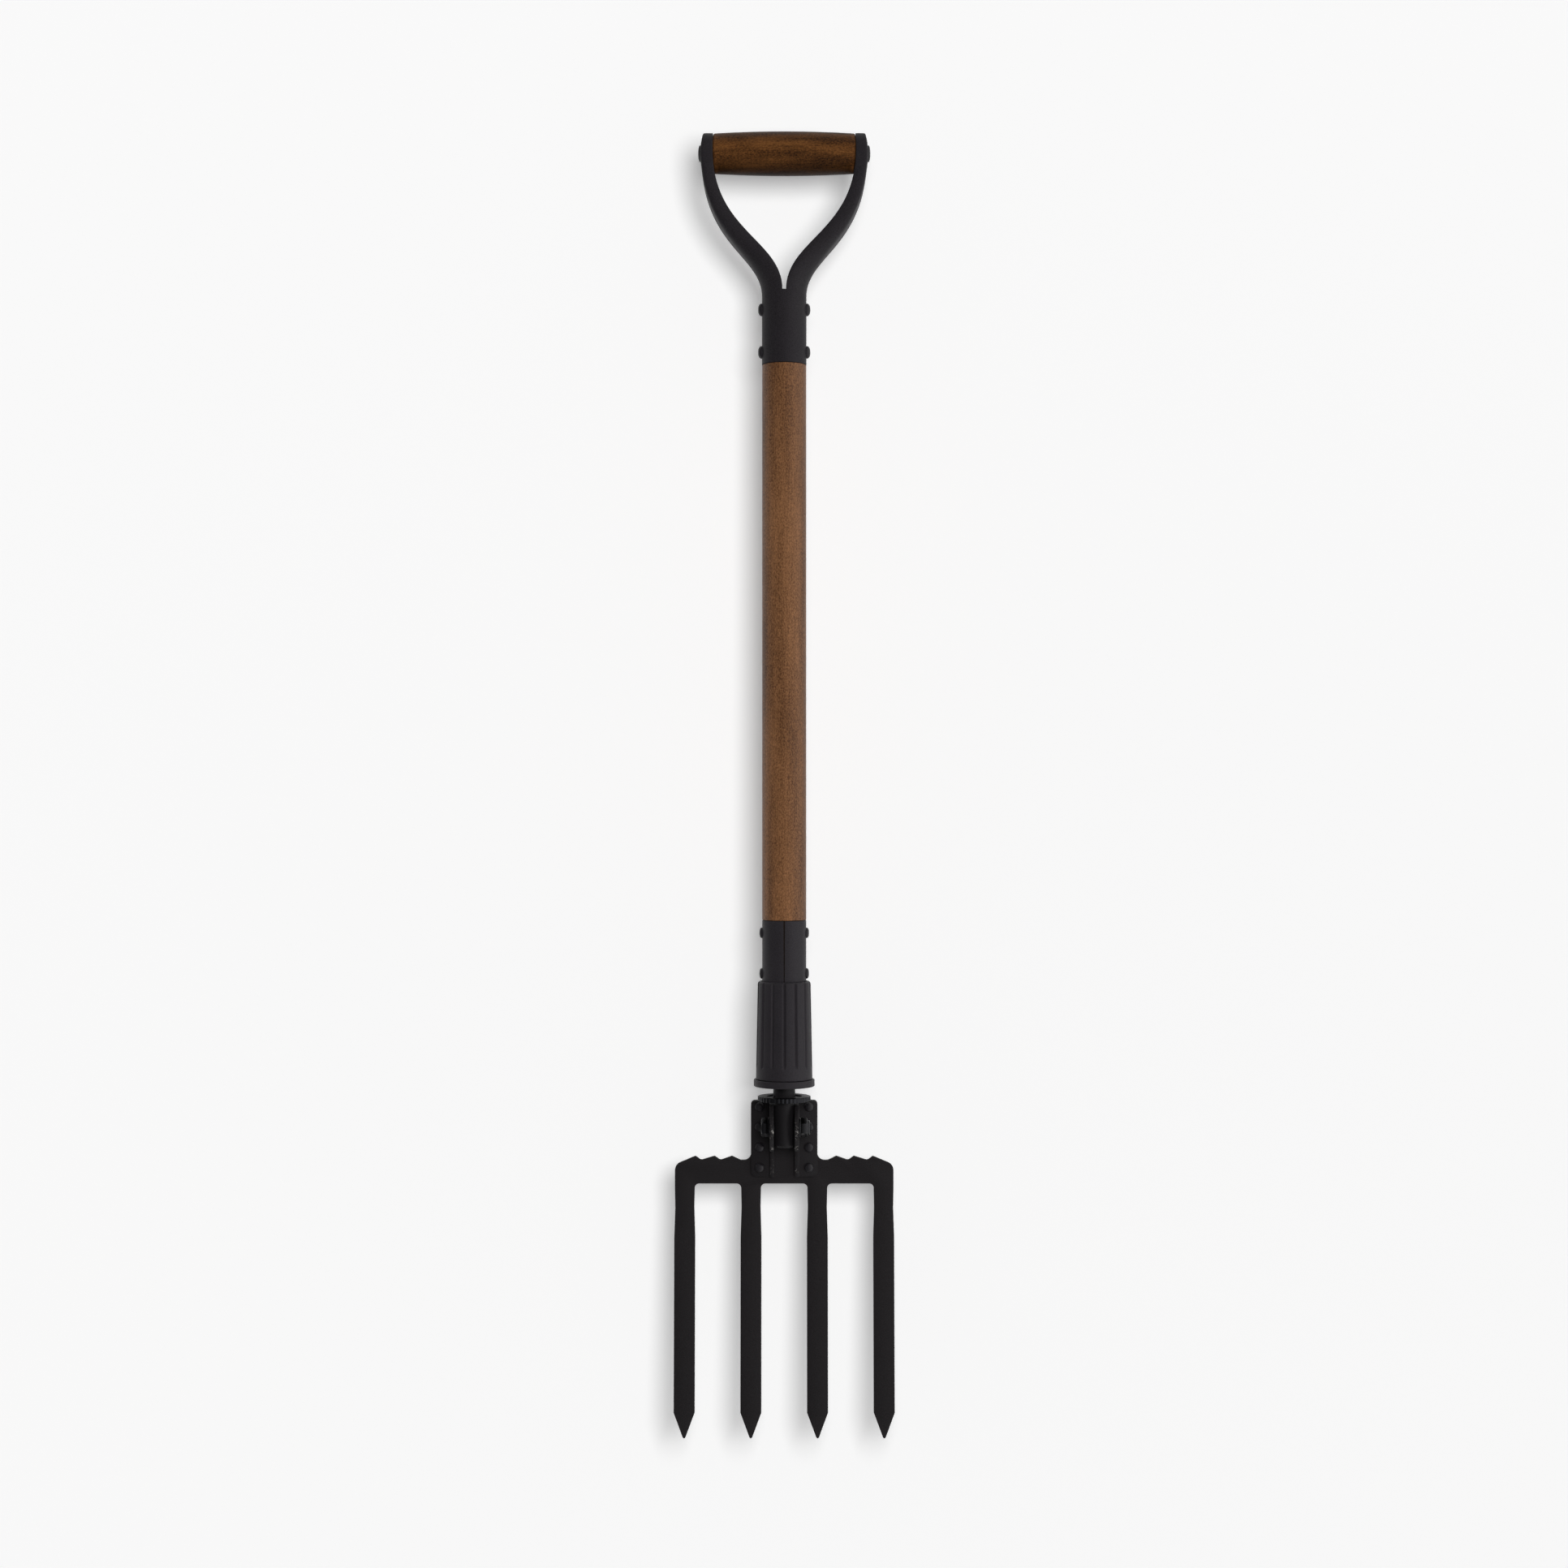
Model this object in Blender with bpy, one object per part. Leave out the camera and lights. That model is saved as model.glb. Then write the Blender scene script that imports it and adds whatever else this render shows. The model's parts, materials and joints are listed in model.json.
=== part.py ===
"""Folding digging fork: four steel tines on a head that folds along a wooden shaft with a D grip.

The tool lies on its back. +X runs across it, +Y from the tines to the grip, and +Z away from the
surface it lies on. Every length below is measured from the pivot of the fold, which lies on the
shaft's centre line, and the whole tool is then moved so that its origin is at the bottom centre.
"""
import math

import bmesh
import bpy
from mathutils import Vector

MM = 0.001

# Fits shared by all pieces
GAP = 0.3 * MM                      # between pieces that touch, and round a pin in its hole
SLIDE_GAP = 0.4 * MM                # between pieces that slide or turn in each other
OVERRUN = 2.0 * MM                  # how far a cutter reaches past what it cuts
SAME_POINT = 0.003 * MM             # points nearer than this are one point
ON_PLACE = 0.03 * MM                # how near to a place a point is counted as lying on it
SHARP_ANGLE = math.radians(32.0)    # edges sharper than this stay crisp
BEVEL_ANGLE = math.radians(50.0)    # edges of the plate sharper than this are broken
QUARTER_TURN = math.pi / 2.0
HEXAGON_HALF_ANGLE = math.pi / 6.0
OCTAGON_HALF_ANGLE = math.pi / 8.0
ROUND_SECTION = 2.0                 # exponent of a superellipse that is a circle

# Wooden shaft, and the walls of the tubes that clasp its tenons
SHAFT_RADIUS = 17.1 * MM
SHAFT_LENGTH = 430.7 * MM           # bare wood between the two tubes
SOCKET_WALL = 2.0 * MM
YOKE_WALL = 2.2 * MM

# Hinge stem
STEM_RADIUS = 8.55 * MM
STEM_FLAT_DEPTH = 0.85 * MM
STEM_FOOT = 15.2 * MM               # stem's end below the pivot
STEM_EDGE = 2.0 * MM
STEM_FLAT_RELIEF = 0.45 * MM        # flats reach this far past the ears' corners
STEM_TOP_DEPTH = 8.0 * MM           # stem's upper end below the socket's foot
CROSS_PIN_RADIUS = 2.5 * MM
CROSS_PIN_DROP = 18.0 * MM          # pin's centre below the stem's upper end
CROSS_PIN_RECESS = 0.6 * MM         # pin's ends below the ferrule's surface

# Ears and flanges that carry the fork plate
EAR_APOTHEM = 17.6 * MM             # from the pivot to each locking flat
BRACKET_THICKNESS = 3.1 * MM
FLANGE_WIDTH = 14.95 * MM           # from the ear's outer face
FLANGE_TOP_CORNER = 3.0 * MM
FLANGE_FOOT_CORNER = 4.0 * MM
BRACKET_BEND = 1.0 * MM             # inner radius of the bend
BRACKET_FOOT_MARGIN = 5.9 * MM      # flange's lower end above the gaps between the tines
RIB_HEIGHT = 1.8 * MM               # low rib above the flange, below the ear

# Serrated ring that the collar presses on the ears
RING_CLEARANCE = 1.95 * MM          # free ring above the ears' corners
RING_WIDTH = 12.05 * MM             # from the stem's surface to the ring's rim
RING_THICKNESS = 3.4 * MM
RING_RECESS_WIDTH = 5.25 * MM       # from the stem's surface
RING_RECESS_DEPTH = 1.2 * MM
RING_TEETH = 40
RING_TOOTH_DEPTH = 0.5 * MM
RING_EDGE = 0.4 * MM

# Locking collar, its foot ring and the wire ring that holds the two together
FOOT_LIFT = 7.9 * MM                # foot above the serrated ring when the collar is screwed back
FOOT_HEIGHT = 5.3 * MM
FOOT_OVERHANG = 1.7 * MM            # foot beyond the collar's surface
FOOT_EDGE = 0.5 * MM
HUB_WALL = 1.95 * MM
SNAP_RISE = 3.0 * MM                # snap ring above the foot's upper face
SNAP_HEIGHT = 1.0 * MM
SNAP_DEPTH_IN_HUB = 0.5 * MM
SNAP_DEPTH_IN_COLLAR = 0.9 * MM
SNAP_OPENING = math.radians(14.0)
HUB_RISE = 2.7 * MM                 # hub above the snap ring
COLLAR_WALL = 2.2 * MM              # round the hub
COLLAR_TAPER = 1.45 * MM            # how much slimmer the collar is at its top
COLLAR_LENGTH = 75.9 * MM
COLLAR_TOP_EDGE = 2.3 * MM
COLLAR_EDGE = 0.5 * MM
FLUTE_COUNT = 14
FLUTE_WIDTH = 2.7 * MM
FLUTE_DEPTH = 1.0 * MM
FLUTE_SHARES = (-1.0, -0.5, 0.0, 0.5, 1.0)   # points across a flute
FLUTE_START = 9.4 * MM              # plain band below the flutes
FLUTE_RUNOUT = 1.5 * MM
FLUTE_RUNOUT_SHARE = 0.7            # depth reached at the round end of a flute

# Ferrule under the collar
FERRULE_RISE = 3.7 * MM             # ferrule's foot above the hub
FERRULE_SPIGOT = 7.4 * MM           # part of the ferrule inside the socket

# Lower socket, a rolled steel tube with an open seam on its upper side
COLLAR_TO_RIVET = 1.65 * MM         # collar's top to the lower rivet's head
SOCKET_LENGTH = 61.0 * MM
SEAM_TOP_WIDTH = 1.2 * MM
SEAM_FOOT_WIDTH = 0.5 * MM
SOCKET_RIVET_DROP = 9.9 * MM        # upper rivet below the socket's mouth
SOCKET_RIVET_PITCH = 31.5 * MM
SOCKET_RIVET_RADIUS = 2.6 * MM
SOCKET_RIVET_HEAD_RADIUS = 4.15 * MM
SOCKET_RIVET_HEAD_HEIGHT = 1.9 * MM
LOWER_TENON_GAP = 0.6 * MM          # shaft's tenon short of the ferrule's spigot

# Yoke, a steel socket whose two halves spread into the arms of the D grip
YOKE_STEP = 0.15 * MM               # yoke's tube proud of the shaft
YOKE_RIVET_RISE = 9.9 * MM          # lower rivet above the yoke's mouth
YOKE_RIVET_PITCH = 33.0 * MM
YOKE_RIVET_RADIUS = 3.0 * MM
YOKE_RIVET_HEAD_RADIUS = 4.9 * MM
YOKE_RIVET_HEAD_HEIGHT = 2.75 * MM
TENON_PAST_RIVET = 9.1 * MM         # shaft's tenon beyond the upper rivet
SPREAD_PAST_TENON = 0.8 * MM        # where the outer walls leave the tube
CROTCH_PAST_SPREAD = 3.2 * MM       # where the two halves part
CROTCH_HALF_WIDTH = 1.4 * MM        # half of the slot's blunt foot
CROTCH_RUN = 0.8 * MM               # length over which the tube opens to that slot
ARM_LENGTH = 108.1 * MM             # from the crotch to the grip's axis
ARM_INNER_HANDLES = (0.353, 0.585)  # shares of its length that the lip's curve runs straight
ARM_OUTER_HANDLES = (0.299, 0.641)  # the same for the arm's back
ARM_END_SQUARENESS = 4.0            # how much boxier the channel is at the eye than at the tube
ARM_STATIONS = 12
ARM_INSET = 0.35 * MM               # arm surfaces behind the eye's, so that the eye stands proud
EYE_RADIUS = 15.6 * MM
EYE_OUTER_HALF_SPAN = 64.6 * MM     # outer face of an eye from the centre line
EYE_DEPTH = 9.4 * MM
EYE_FLOOR = 3.2 * MM                # thickness of the eye's floor under the bolt's head
EYE_EDGE = 2.2 * MM                 # rounding of the eye's outer edge
EYE_SEAT_RADIUS = 7.0 * MM          # flat spot for the bolt's head
EYE_BEND_RADIUS = 86.0 * MM         # outer face curves in at the top like the arm's back
EYE_CROWN_DROP = 4.8 * MM           # highest place of that curve, below the grip's axis
EYE_CROWN = 0.3 * MM                # how far it stands proud of the flat spot there

# Grip, a turned wooden barrel on a bolt across the yoke
GRIP_STEP = 0.35 * MM               # grip's ends below the eye's surface
GRIP_SWELL = 1.65 * MM              # grip's middle thicker than its ends
GRIP_EDGE = 1.2 * MM
GRIP_TENON_GAP = 1.15 * MM          # tenon short of the bottom of its cup
GRIP_STATIONS = 8
GRIP_BOLT_RADIUS = 5.0 * MM
GRIP_BOLT_THREAD_RADIUS = 3.4 * MM
CAP_SLEEVE_LENGTH = 40.6 * MM       # sleeve behind the eye's outer face
CAP_THREAD_STOP = 16.6 * MM         # bolt's end behind the eye's outer face
GRIP_BOLT_HEAD_RADIUS = 6.35 * MM
GRIP_BOLT_HEAD_HEIGHT = 2.0 * MM
GRIP_BOLT_RIM_SHARE = 1.0 / 3.0     # straight part of the head's height

# Fork plate
FLANGE_TO_FOOT = 0.95 * MM          # flanges lie this far outside the foot ring's rim
PLATE_THICKNESS = 4.5 * MM
PLATE_EDGE = 0.5 * MM
STEP_LEVEL = 29.7 * MM              # valleys of the stepped upper edge, below the pivot
STEP_HEIGHT = 3.2 * MM
STEP_PEAKS = (0.2495, 0.48, 0.73)   # shares of the run from the tang to the crossbar's end
STEP_VALLEYS = (0.139, 0.403, 0.657)
STEP_VALLEY_RADIUS = 3.0 * MM
CROSSBAR_HEIGHT = 18.4 * MM         # from the valleys to the gaps between the tines
SHOULDER_FALL = 3.6 * MM            # shoulder's outer corner below the valleys
SHOULDER_RADIUS = 6.5 * MM
TANG_FILLET = 5.5 * MM
TANG_CORNER = 3.0 * MM
GAP_CORNER = 3.6 * MM
TINES = 4
TINE_PITCH = 52.2 * MM
TINE_LENGTH = 196.7 * MM            # from the top of the gaps to the points
TINE_ROOT_WIDTH = 15.55 * MM
TINE_WAIST_WIDTH = 14.95 * MM
TINE_WIDTH = 16.4 * MM
TINE_TIP_WIDTH = 1.6 * MM
TINE_WAIST_RUN = 18.9 * MM          # places along the tine, below the top of the gaps
TINE_SWELL_RUN = 41.9 * MM
TINE_BEND_RUN = 11.9 * MM
TINE_BEND_LENGTH = 14.0 * MM
TINE_POINT_LENGTH = 19.6 * MM
TINE_TIP_ROUND = 1.0 * MM
TINE_BEND = math.radians(5.0)       # how far the tines lean away from the plate's back

# Rivets of the flanges
PLATE_RIVETS = 4
PLATE_RIVET_OFF_EAR = 8.2 * MM      # rivets' line beyond the ear's outer face
PLATE_RIVET_TOP_MARGIN = 4.8 * MM   # from the flange's upper end to the first rivet
PLATE_RIVET_FOOT_MARGIN = 7.21 * MM
PLATE_RIVET_RADIUS = 2.4 * MM
PLATE_RIVET_HEAD_RADIUS = 3.75 * MM
PLATE_RIVET_HEAD_HEIGHT = 2.6 * MM
PLATE_RIVET_SINK_RADIUS = 3.6 * MM
PLATE_RIVET_SINK_DEPTH = 1.4 * MM
PLATE_RIVET_RECESS = 0.2 * MM       # rivet's closed end above the plate's back

# Pivot bolt, nut, washers and bush
PIVOT_RADIUS = 4.0 * MM
PIVOT_HEAD_FLATS = 13.0 * MM
PIVOT_HEAD_HEIGHT = 4.8 * MM
PIVOT_NUT_HEIGHT = 5.2 * MM
PIVOT_NUT_COLLAR_RADIUS = 5.7 * MM
PIVOT_NUT_COLLAR_HEIGHT = 1.6 * MM
PIVOT_THREAD_END = 1.3 * MM         # thread standing out of the nut
WASHER_RADIUS = 7.6 * MM
WASHER_THICKNESS = 1.2 * MM
BUSH_WALL = 1.5 * MM
HEX_CHAMFER = 0.6 * MM

# Facets round each kind of piece
TUBE_FACETS = 32
RING_FACETS = 36
SMALL_FACETS = 16
RIVET_FACETS = 12
ARC_FACETS = 10                     # half a channel section of the yoke
CORNER_FACETS = 4
DOME_FACETS = 3

# Places up the centre line from the pivot, each from the one below it
EAR_CORNER_RADIUS = EAR_APOTHEM / math.cos(OCTAGON_HALF_ANGLE)
STEM_FLAT_TOP = EAR_CORNER_RADIUS + STEM_FLAT_RELIEF
RING_PLACE = EAR_CORNER_RADIUS + RING_CLEARANCE
FOOT_PLACE = RING_PLACE + RING_THICKNESS + FOOT_LIFT
SNAP_PLACE = FOOT_HEIGHT + SNAP_RISE                       # above the foot's lower face
HUB_HEIGHT = SNAP_PLACE + SNAP_HEIGHT + HUB_RISE
COLLAR_BOTTOM = FOOT_HEIGHT + GAP
COLLAR_TOP = FOOT_PLACE + COLLAR_BOTTOM + COLLAR_LENGTH
FERRULE_START = FOOT_PLACE + HUB_HEIGHT + FERRULE_RISE
SOCKET_RIVET_LOWER = COLLAR_TOP + COLLAR_TO_RIVET + SOCKET_RIVET_HEAD_RADIUS
SOCKET_RIVET_UPPER = SOCKET_RIVET_LOWER + SOCKET_RIVET_PITCH
SHAFT_START = SOCKET_RIVET_UPPER + SOCKET_RIVET_DROP
SOCKET_START = SHAFT_START - SOCKET_LENGTH
STEM_TOP = SOCKET_START - STEM_TOP_DEPTH
CROSS_PIN_PLACE = STEM_TOP - CROSS_PIN_DROP
LOWER_TENON_LENGTH = SOCKET_LENGTH - FERRULE_SPIGOT - LOWER_TENON_GAP
SHAFT_END = SHAFT_START + SHAFT_LENGTH
YOKE_START = SHAFT_END
YOKE_RIVET_LOWER = YOKE_START + YOKE_RIVET_RISE
YOKE_RIVET_UPPER = YOKE_RIVET_LOWER + YOKE_RIVET_PITCH
SHAFT_TOP = YOKE_RIVET_UPPER + TENON_PAST_RIVET
YOKE_SPREAD = SHAFT_TOP + SPREAD_PAST_TENON
YOKE_CROTCH = YOKE_SPREAD + CROTCH_PAST_SPREAD
GRIP_PLACE = YOKE_CROTCH + ARM_LENGTH

# Radii and half widths that follow from the shaft, the stem and the eyes
HUB_RADIUS = SHAFT_RADIUS + SLIDE_GAP + HUB_WALL
SNAP_INNER_RADIUS = HUB_RADIUS - SNAP_DEPTH_IN_HUB
SNAP_OUTER_RADIUS = HUB_RADIUS + SNAP_DEPTH_IN_COLLAR
COLLAR_RADIUS = HUB_RADIUS + GAP + COLLAR_WALL
FOOT_RADIUS = COLLAR_RADIUS + FOOT_OVERHANG
YOKE_RADIUS = SHAFT_RADIUS + YOKE_STEP
RING_RADIUS = STEM_RADIUS + RING_WIDTH
RING_RECESS_RADIUS = STEM_RADIUS + RING_RECESS_WIDTH
STEM_FLAT_HALF_WIDTH = STEM_RADIUS - STEM_FLAT_DEPTH
EAR_INNER_FACE = STEM_FLAT_HALF_WIDTH + SLIDE_GAP
EAR_OUTER_FACE = EAR_INNER_FACE + BRACKET_THICKNESS
BRACKET_HALF_WIDTH = EAR_OUTER_FACE + FLANGE_WIDTH
BUSH_RADIUS = PIVOT_RADIUS + BUSH_WALL
EYE_LIP_HALF_SPAN = EYE_OUTER_HALF_SPAN - EYE_DEPTH
EYE_WEB_INNER = EYE_OUTER_HALF_SPAN - EYE_FLOOR
EYE_BORE_RADIUS = EYE_RADIUS - YOKE_WALL
GRIP_END_RADIUS = EYE_RADIUS - GRIP_STEP
GRIP_RADIUS = GRIP_END_RADIUS + GRIP_SWELL
GRIP_HALF_LENGTH = EYE_LIP_HALF_SPAN - GAP

# Levels and places of the head, the places measured down from the pivot
FLANGE_FRONT = -FOOT_RADIUS - FLANGE_TO_FOOT
FLANGE_BACK = FLANGE_FRONT - BRACKET_THICKNESS
PLATE_FRONT = FLANGE_BACK - GAP
PLATE_BACK = PLATE_FRONT - PLATE_THICKNESS
CROSSBAR_FOOT = STEP_LEVEL + CROSSBAR_HEIGHT
BRACKET_FOOT = CROSSBAR_FOOT - BRACKET_FOOT_MARGIN
CROSSBAR_HALF_WIDTH = (TINE_PITCH * (TINES - 1) + TINE_ROOT_WIDTH) / 2.0
TINE_BEND_START = CROSSBAR_FOOT + TINE_BEND_RUN
TINE_WAIST = CROSSBAR_FOOT + TINE_WAIST_RUN
TINE_SWELL = CROSSBAR_FOOT + TINE_SWELL_RUN
TINE_TIP = CROSSBAR_FOOT + TINE_LENGTH
TINE_TAPER = TINE_TIP - TINE_POINT_LENGTH
PLATE_RIVET_SPREAD = EAR_OUTER_FACE + PLATE_RIVET_OFF_EAR
PLATE_RIVET_TOP = EAR_APOTHEM - PLATE_RIVET_TOP_MARGIN
PLATE_RIVET_PITCH = (PLATE_RIVET_TOP + BRACKET_FOOT - PLATE_RIVET_FOOT_MARGIN) / (PLATE_RIVETS - 1)

# Where the finished tool's origin lies: middle of its length, on its underside
TOOL_TOP = GRIP_PLACE + GRIP_RADIUS
TOOL_MIDDLE = (TOOL_TOP - TINE_TIP) / 2.0
TOOL_UNDERSIDE = PLATE_BACK

# Turns that lay a piece made along Y onto another axis
ALONG_X = (0.0, 0.0, -QUARTER_TURN)
ALONG_Z = (QUARTER_TURN, 0.0, 0.0)

# Finishes: colour, roughness, metallic
FINISHES = {
    "powder_coat": ((0.022, 0.021, 0.022), 0.55, 0.0),
    "dark_steel": ((0.10, 0.10, 0.105), 0.45, 0.9),
    "bright_steel": ((0.55, 0.55, 0.56), 0.32, 1.0),
    "shaft_wood": ((0.141, 0.069, 0.033), 0.6, 0.0),
    "grip_wood": ((0.085, 0.036, 0.015), 0.5, 0.0),
    "bronze": ((0.50, 0.30, 0.12), 0.4, 1.0),
}


def clear_scene():
    """Remove whatever the scene holds."""
    for item in list(bpy.data.objects):
        bpy.data.objects.remove(item, do_unlink=True)


def finish_material(name, finish):
    """A Principled material of its own for one piece."""
    colour, roughness, metallic = FINISHES[finish]
    material = bpy.data.materials.new(f"{name}_finish")
    material.use_nodes = True
    shader = material.node_tree.nodes["Principled BSDF"]
    shader.inputs["Base Color"].default_value = (*colour, 1.0)
    shader.inputs["Roughness"].default_value = roughness
    shader.inputs["Metallic"].default_value = metallic
    return material


def empty(name, parent=None, location=(0.0, 0.0, 0.0)):
    """A frame or joint axis that pieces hang on."""
    item = bpy.data.objects.new(name, None)
    item.parent = parent
    item.location = location
    bpy.context.scene.collection.objects.link(item)
    return item


def add_object(name, bm, parent, location, rotation):
    """Turn a bmesh into an object with outward faces."""
    bmesh.ops.recalc_face_normals(bm, faces=bm.faces)
    mesh = bpy.data.meshes.new(name)
    bm.to_mesh(mesh)
    bm.free()
    item = bpy.data.objects.new(name, mesh)
    item.parent = parent
    item.location = location
    item.rotation_euler = rotation
    bpy.context.scene.collection.objects.link(item)
    return item


def piece(name, bm, finish, parent, location=(0.0, 0.0, 0.0), rotation=(0.0, 0.0, 0.0)):
    """One physical piece of the tool."""
    item = add_object(name, bm, parent, location, rotation)
    item.data.shade_smooth()
    item.data.set_sharp_from_angle(angle=SHARP_ANGLE)
    item.data.materials.append(finish_material(name, finish))
    return item


def tool(name, bm, parent, location=(0.0, 0.0, 0.0), rotation=(0.0, 0.0, 0.0)):
    """A shape that only cuts, joins or trims other pieces."""
    item = add_object(name, bm, parent, location, rotation)
    item.hide_render = True
    item.display_type = "WIRE"
    return item


def apply_tool(target, shape, operation="DIFFERENCE"):
    """Cut, join or intersect a piece with a tool shape."""
    modifier = target.modifiers.new(shape.name, "BOOLEAN")
    modifier.operation = operation
    modifier.solver = "EXACT"
    modifier.object = shape


def turned(profile, facets, closed=False, sweep=2.0 * math.pi):
    """Spin a profile of (radius, along) about the Y axis. A closed profile makes a hollow piece."""
    bm = bmesh.new()
    points = [bm.verts.new((radius, along, 0.0)) for radius, along in profile]
    pairs = list(zip(points, points[1:]))
    if closed:
        pairs.append((points[-1], points[0]))
    edges = [bm.edges.new(pair) for pair in pairs]
    whole = sweep >= 2.0 * math.pi
    result = bmesh.ops.spin(
        bm, geom=points + edges, cent=(0.0, 0.0, 0.0), axis=(0.0, 1.0, 0.0),
        angle=sweep, steps=facets, use_merge=whole, use_duplicate=False)
    if not whole:
        bm.faces.new(points)
        bm.faces.new([item for item in result["geom_last"] if isinstance(item, bmesh.types.BMVert)])
    bmesh.ops.remove_doubles(bm, verts=bm.verts, dist=SAME_POINT)
    return bm


def lofted(rings):
    """Bridge rings of equal count and cap both ends."""
    bm = bmesh.new()
    rows = [[bm.verts.new(point) for point in ring] for ring in rings]
    for low, high in zip(rows, rows[1:]):
        for index, vertex in enumerate(low):
            previous = index - 1
            bm.faces.new((low[previous], vertex, high[index], high[previous]))
    bm.faces.new(rows[0])
    bm.faces.new(rows[-1])
    return bm


def extruded(outline, direction):
    """Fill an outline of 3-D points and draw it out along a direction."""
    bm = bmesh.new()
    face = bm.faces.new([bm.verts.new(point) for point in outline])
    result = bmesh.ops.extrude_face_region(bm, geom=[face])
    moved = [item for item in result["geom"] if isinstance(item, bmesh.types.BMVert)]
    bmesh.ops.translate(bm, verts=moved, vec=direction)
    return bm


def cylinder(radius, low, high, facets):
    """A plain round bar along Y, from one place to another."""
    return turned([(0.0, low), (radius, low), (radius, high), (0.0, high)], facets)


def together(shapes):
    """Several separate shapes as one bmesh, so that one operation applies them all."""
    bm = bmesh.new()
    for shape in shapes:
        mesh = bpy.data.meshes.new("shape")
        shape.to_mesh(mesh)
        shape.free()
        bm.from_mesh(mesh)
        bpy.data.meshes.remove(mesh)
    return bm


def rounded(corners):
    """An outline of (x, y, radius) corners with each corner's arc worked out."""
    outline = []
    count = len(corners)
    for index, (x, y, radius) in enumerate(corners):
        corner = Vector((x, y))
        if radius <= 0.0:
            outline.append(corner)
            continue
        before = (Vector(corners[index - 1][:2]) - corner).normalized()
        after = (Vector(corners[(index + 1) % count][:2]) - corner).normalized()
        half_angle = before.angle(after) / 2.0
        reach = radius / math.tan(half_angle)
        centre = corner + (before + after).normalized() * (radius / math.sin(half_angle))
        start = corner + before * reach - centre
        turn = start.angle_signed(corner + after * reach - centre)
        for step in range(CORNER_FACETS + 1):
            angle = -turn * step / CORNER_FACETS
            arm = Vector((start.x * math.cos(angle) - start.y * math.sin(angle),
                          start.x * math.sin(angle) + start.y * math.cos(angle)))
            outline.append(centre + arm)
    return [point for index, point in enumerate(outline)
            if (point - outline[index - 1]).length > SAME_POINT]


def bezier(start, start_handle, end_handle, end, share):
    """A point on a cubic curve."""
    rest = 1.0 - share
    return (start * rest ** 3 + start_handle * (3.0 * rest ** 2 * share)
            + end_handle * (3.0 * rest * share ** 2) + end * share ** 3)


def dome(radius, base, height):
    """Profile of a rivet or bolt head, from its rim to its crown."""
    return [(radius * math.cos(QUARTER_TURN * step / DOME_FACETS),
             base + height * math.sin(QUARTER_TURN * step / DOME_FACETS))
            for step in range(DOME_FACETS)] + [(0.0, base + height)]


def hexagon_bar(flats, low, high, chamfer):
    """A hexagon along Y with its outer end chamfered."""
    def ring(place, inset):
        reach = (flats / 2.0 - inset) / math.cos(HEXAGON_HALF_ANGLE)
        turns = [2.0 * HEXAGON_HALF_ANGLE * side for side in range(6)]
        return [(reach * math.cos(turn), place, reach * math.sin(turn)) for turn in turns]
    inner_end = high - math.copysign(chamfer, high - low)
    return lofted([ring(low, 0.0), ring(inner_end, 0.0), ring(high, chamfer)])


def make_shaft(parent):
    """Ash shaft with a reduced tenon in each socket."""
    lower_tenon = SHAFT_RADIUS - SOCKET_WALL - GAP
    upper_tenon = YOKE_RADIUS - YOKE_WALL - GAP
    low = SHAFT_START - LOWER_TENON_LENGTH
    shaft = piece("shaft", turned([
        (0.0, low), (lower_tenon, low), (lower_tenon, SHAFT_START + GAP),
        (SHAFT_RADIUS, SHAFT_START + GAP), (SHAFT_RADIUS, SHAFT_END - GAP),
        (upper_tenon, SHAFT_END - GAP), (upper_tenon, SHAFT_TOP), (0.0, SHAFT_TOP)], TUBE_FACETS),
        "shaft_wood", parent)
    return shaft


def cross_holes(name, target, parent, places, radius, reach):
    """Holes right across a tube, along X."""
    shapes = []
    for place in places:
        shape = cylinder(radius + GAP, -reach, reach, RIVET_FACETS)
        bmesh.ops.translate(shape, verts=shape.verts, vec=(-place, 0.0, 0.0))
        shapes.append(shape)
    apply_tool(target, tool(f"{name}_in_{target.name}", together(shapes), parent,
                            rotation=ALONG_X))


def tube_rivet(name, parent, place, tube_radius, radius, head_radius, head_height):
    """A rivet through a tube along X, its heads bedded on the tube's round wall."""
    seat = tube_radius + GAP
    half = dome(head_radius, seat + GAP, head_height - GAP)
    side = [(radius, seat), (head_radius, seat)] + half
    mirrored = [(reach, -along) for reach, along in reversed(side)]
    bm = turned(mirrored + side, RIVET_FACETS)
    for vertex in bm.verts:
        if abs(abs(vertex.co.y) - seat) < ON_PLACE:
            vertex.co.y = math.copysign(math.sqrt(seat ** 2 - vertex.co.z ** 2), vertex.co.y)
    return piece(name, bm, "powder_coat", parent, (0.0, place, 0.0), ALONG_X)


def make_lower_socket(parent):
    """Rolled tube that clasps the shaft's lower tenon, with its seam left open."""
    inner = SHAFT_RADIUS - SOCKET_WALL
    socket = piece("lower_socket", turned([
        (inner, SOCKET_START), (SHAFT_RADIUS, SOCKET_START),
        (SHAFT_RADIUS, SHAFT_START), (inner, SHAFT_START)], TUBE_FACETS, closed=True),
        "powder_coat", parent)
    low = SOCKET_START - OVERRUN
    high = SHAFT_START + OVERRUN
    seam = [(-SEAM_FOOT_WIDTH / 2.0, low, 0.0), (SEAM_FOOT_WIDTH / 2.0, low, 0.0),
            (SEAM_TOP_WIDTH / 2.0, high, 0.0), (-SEAM_TOP_WIDTH / 2.0, high, 0.0)]
    apply_tool(socket, tool("socket_seam", extruded(seam, (0.0, 0.0, SHAFT_RADIUS + OVERRUN)),
                            parent))
    return socket


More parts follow.
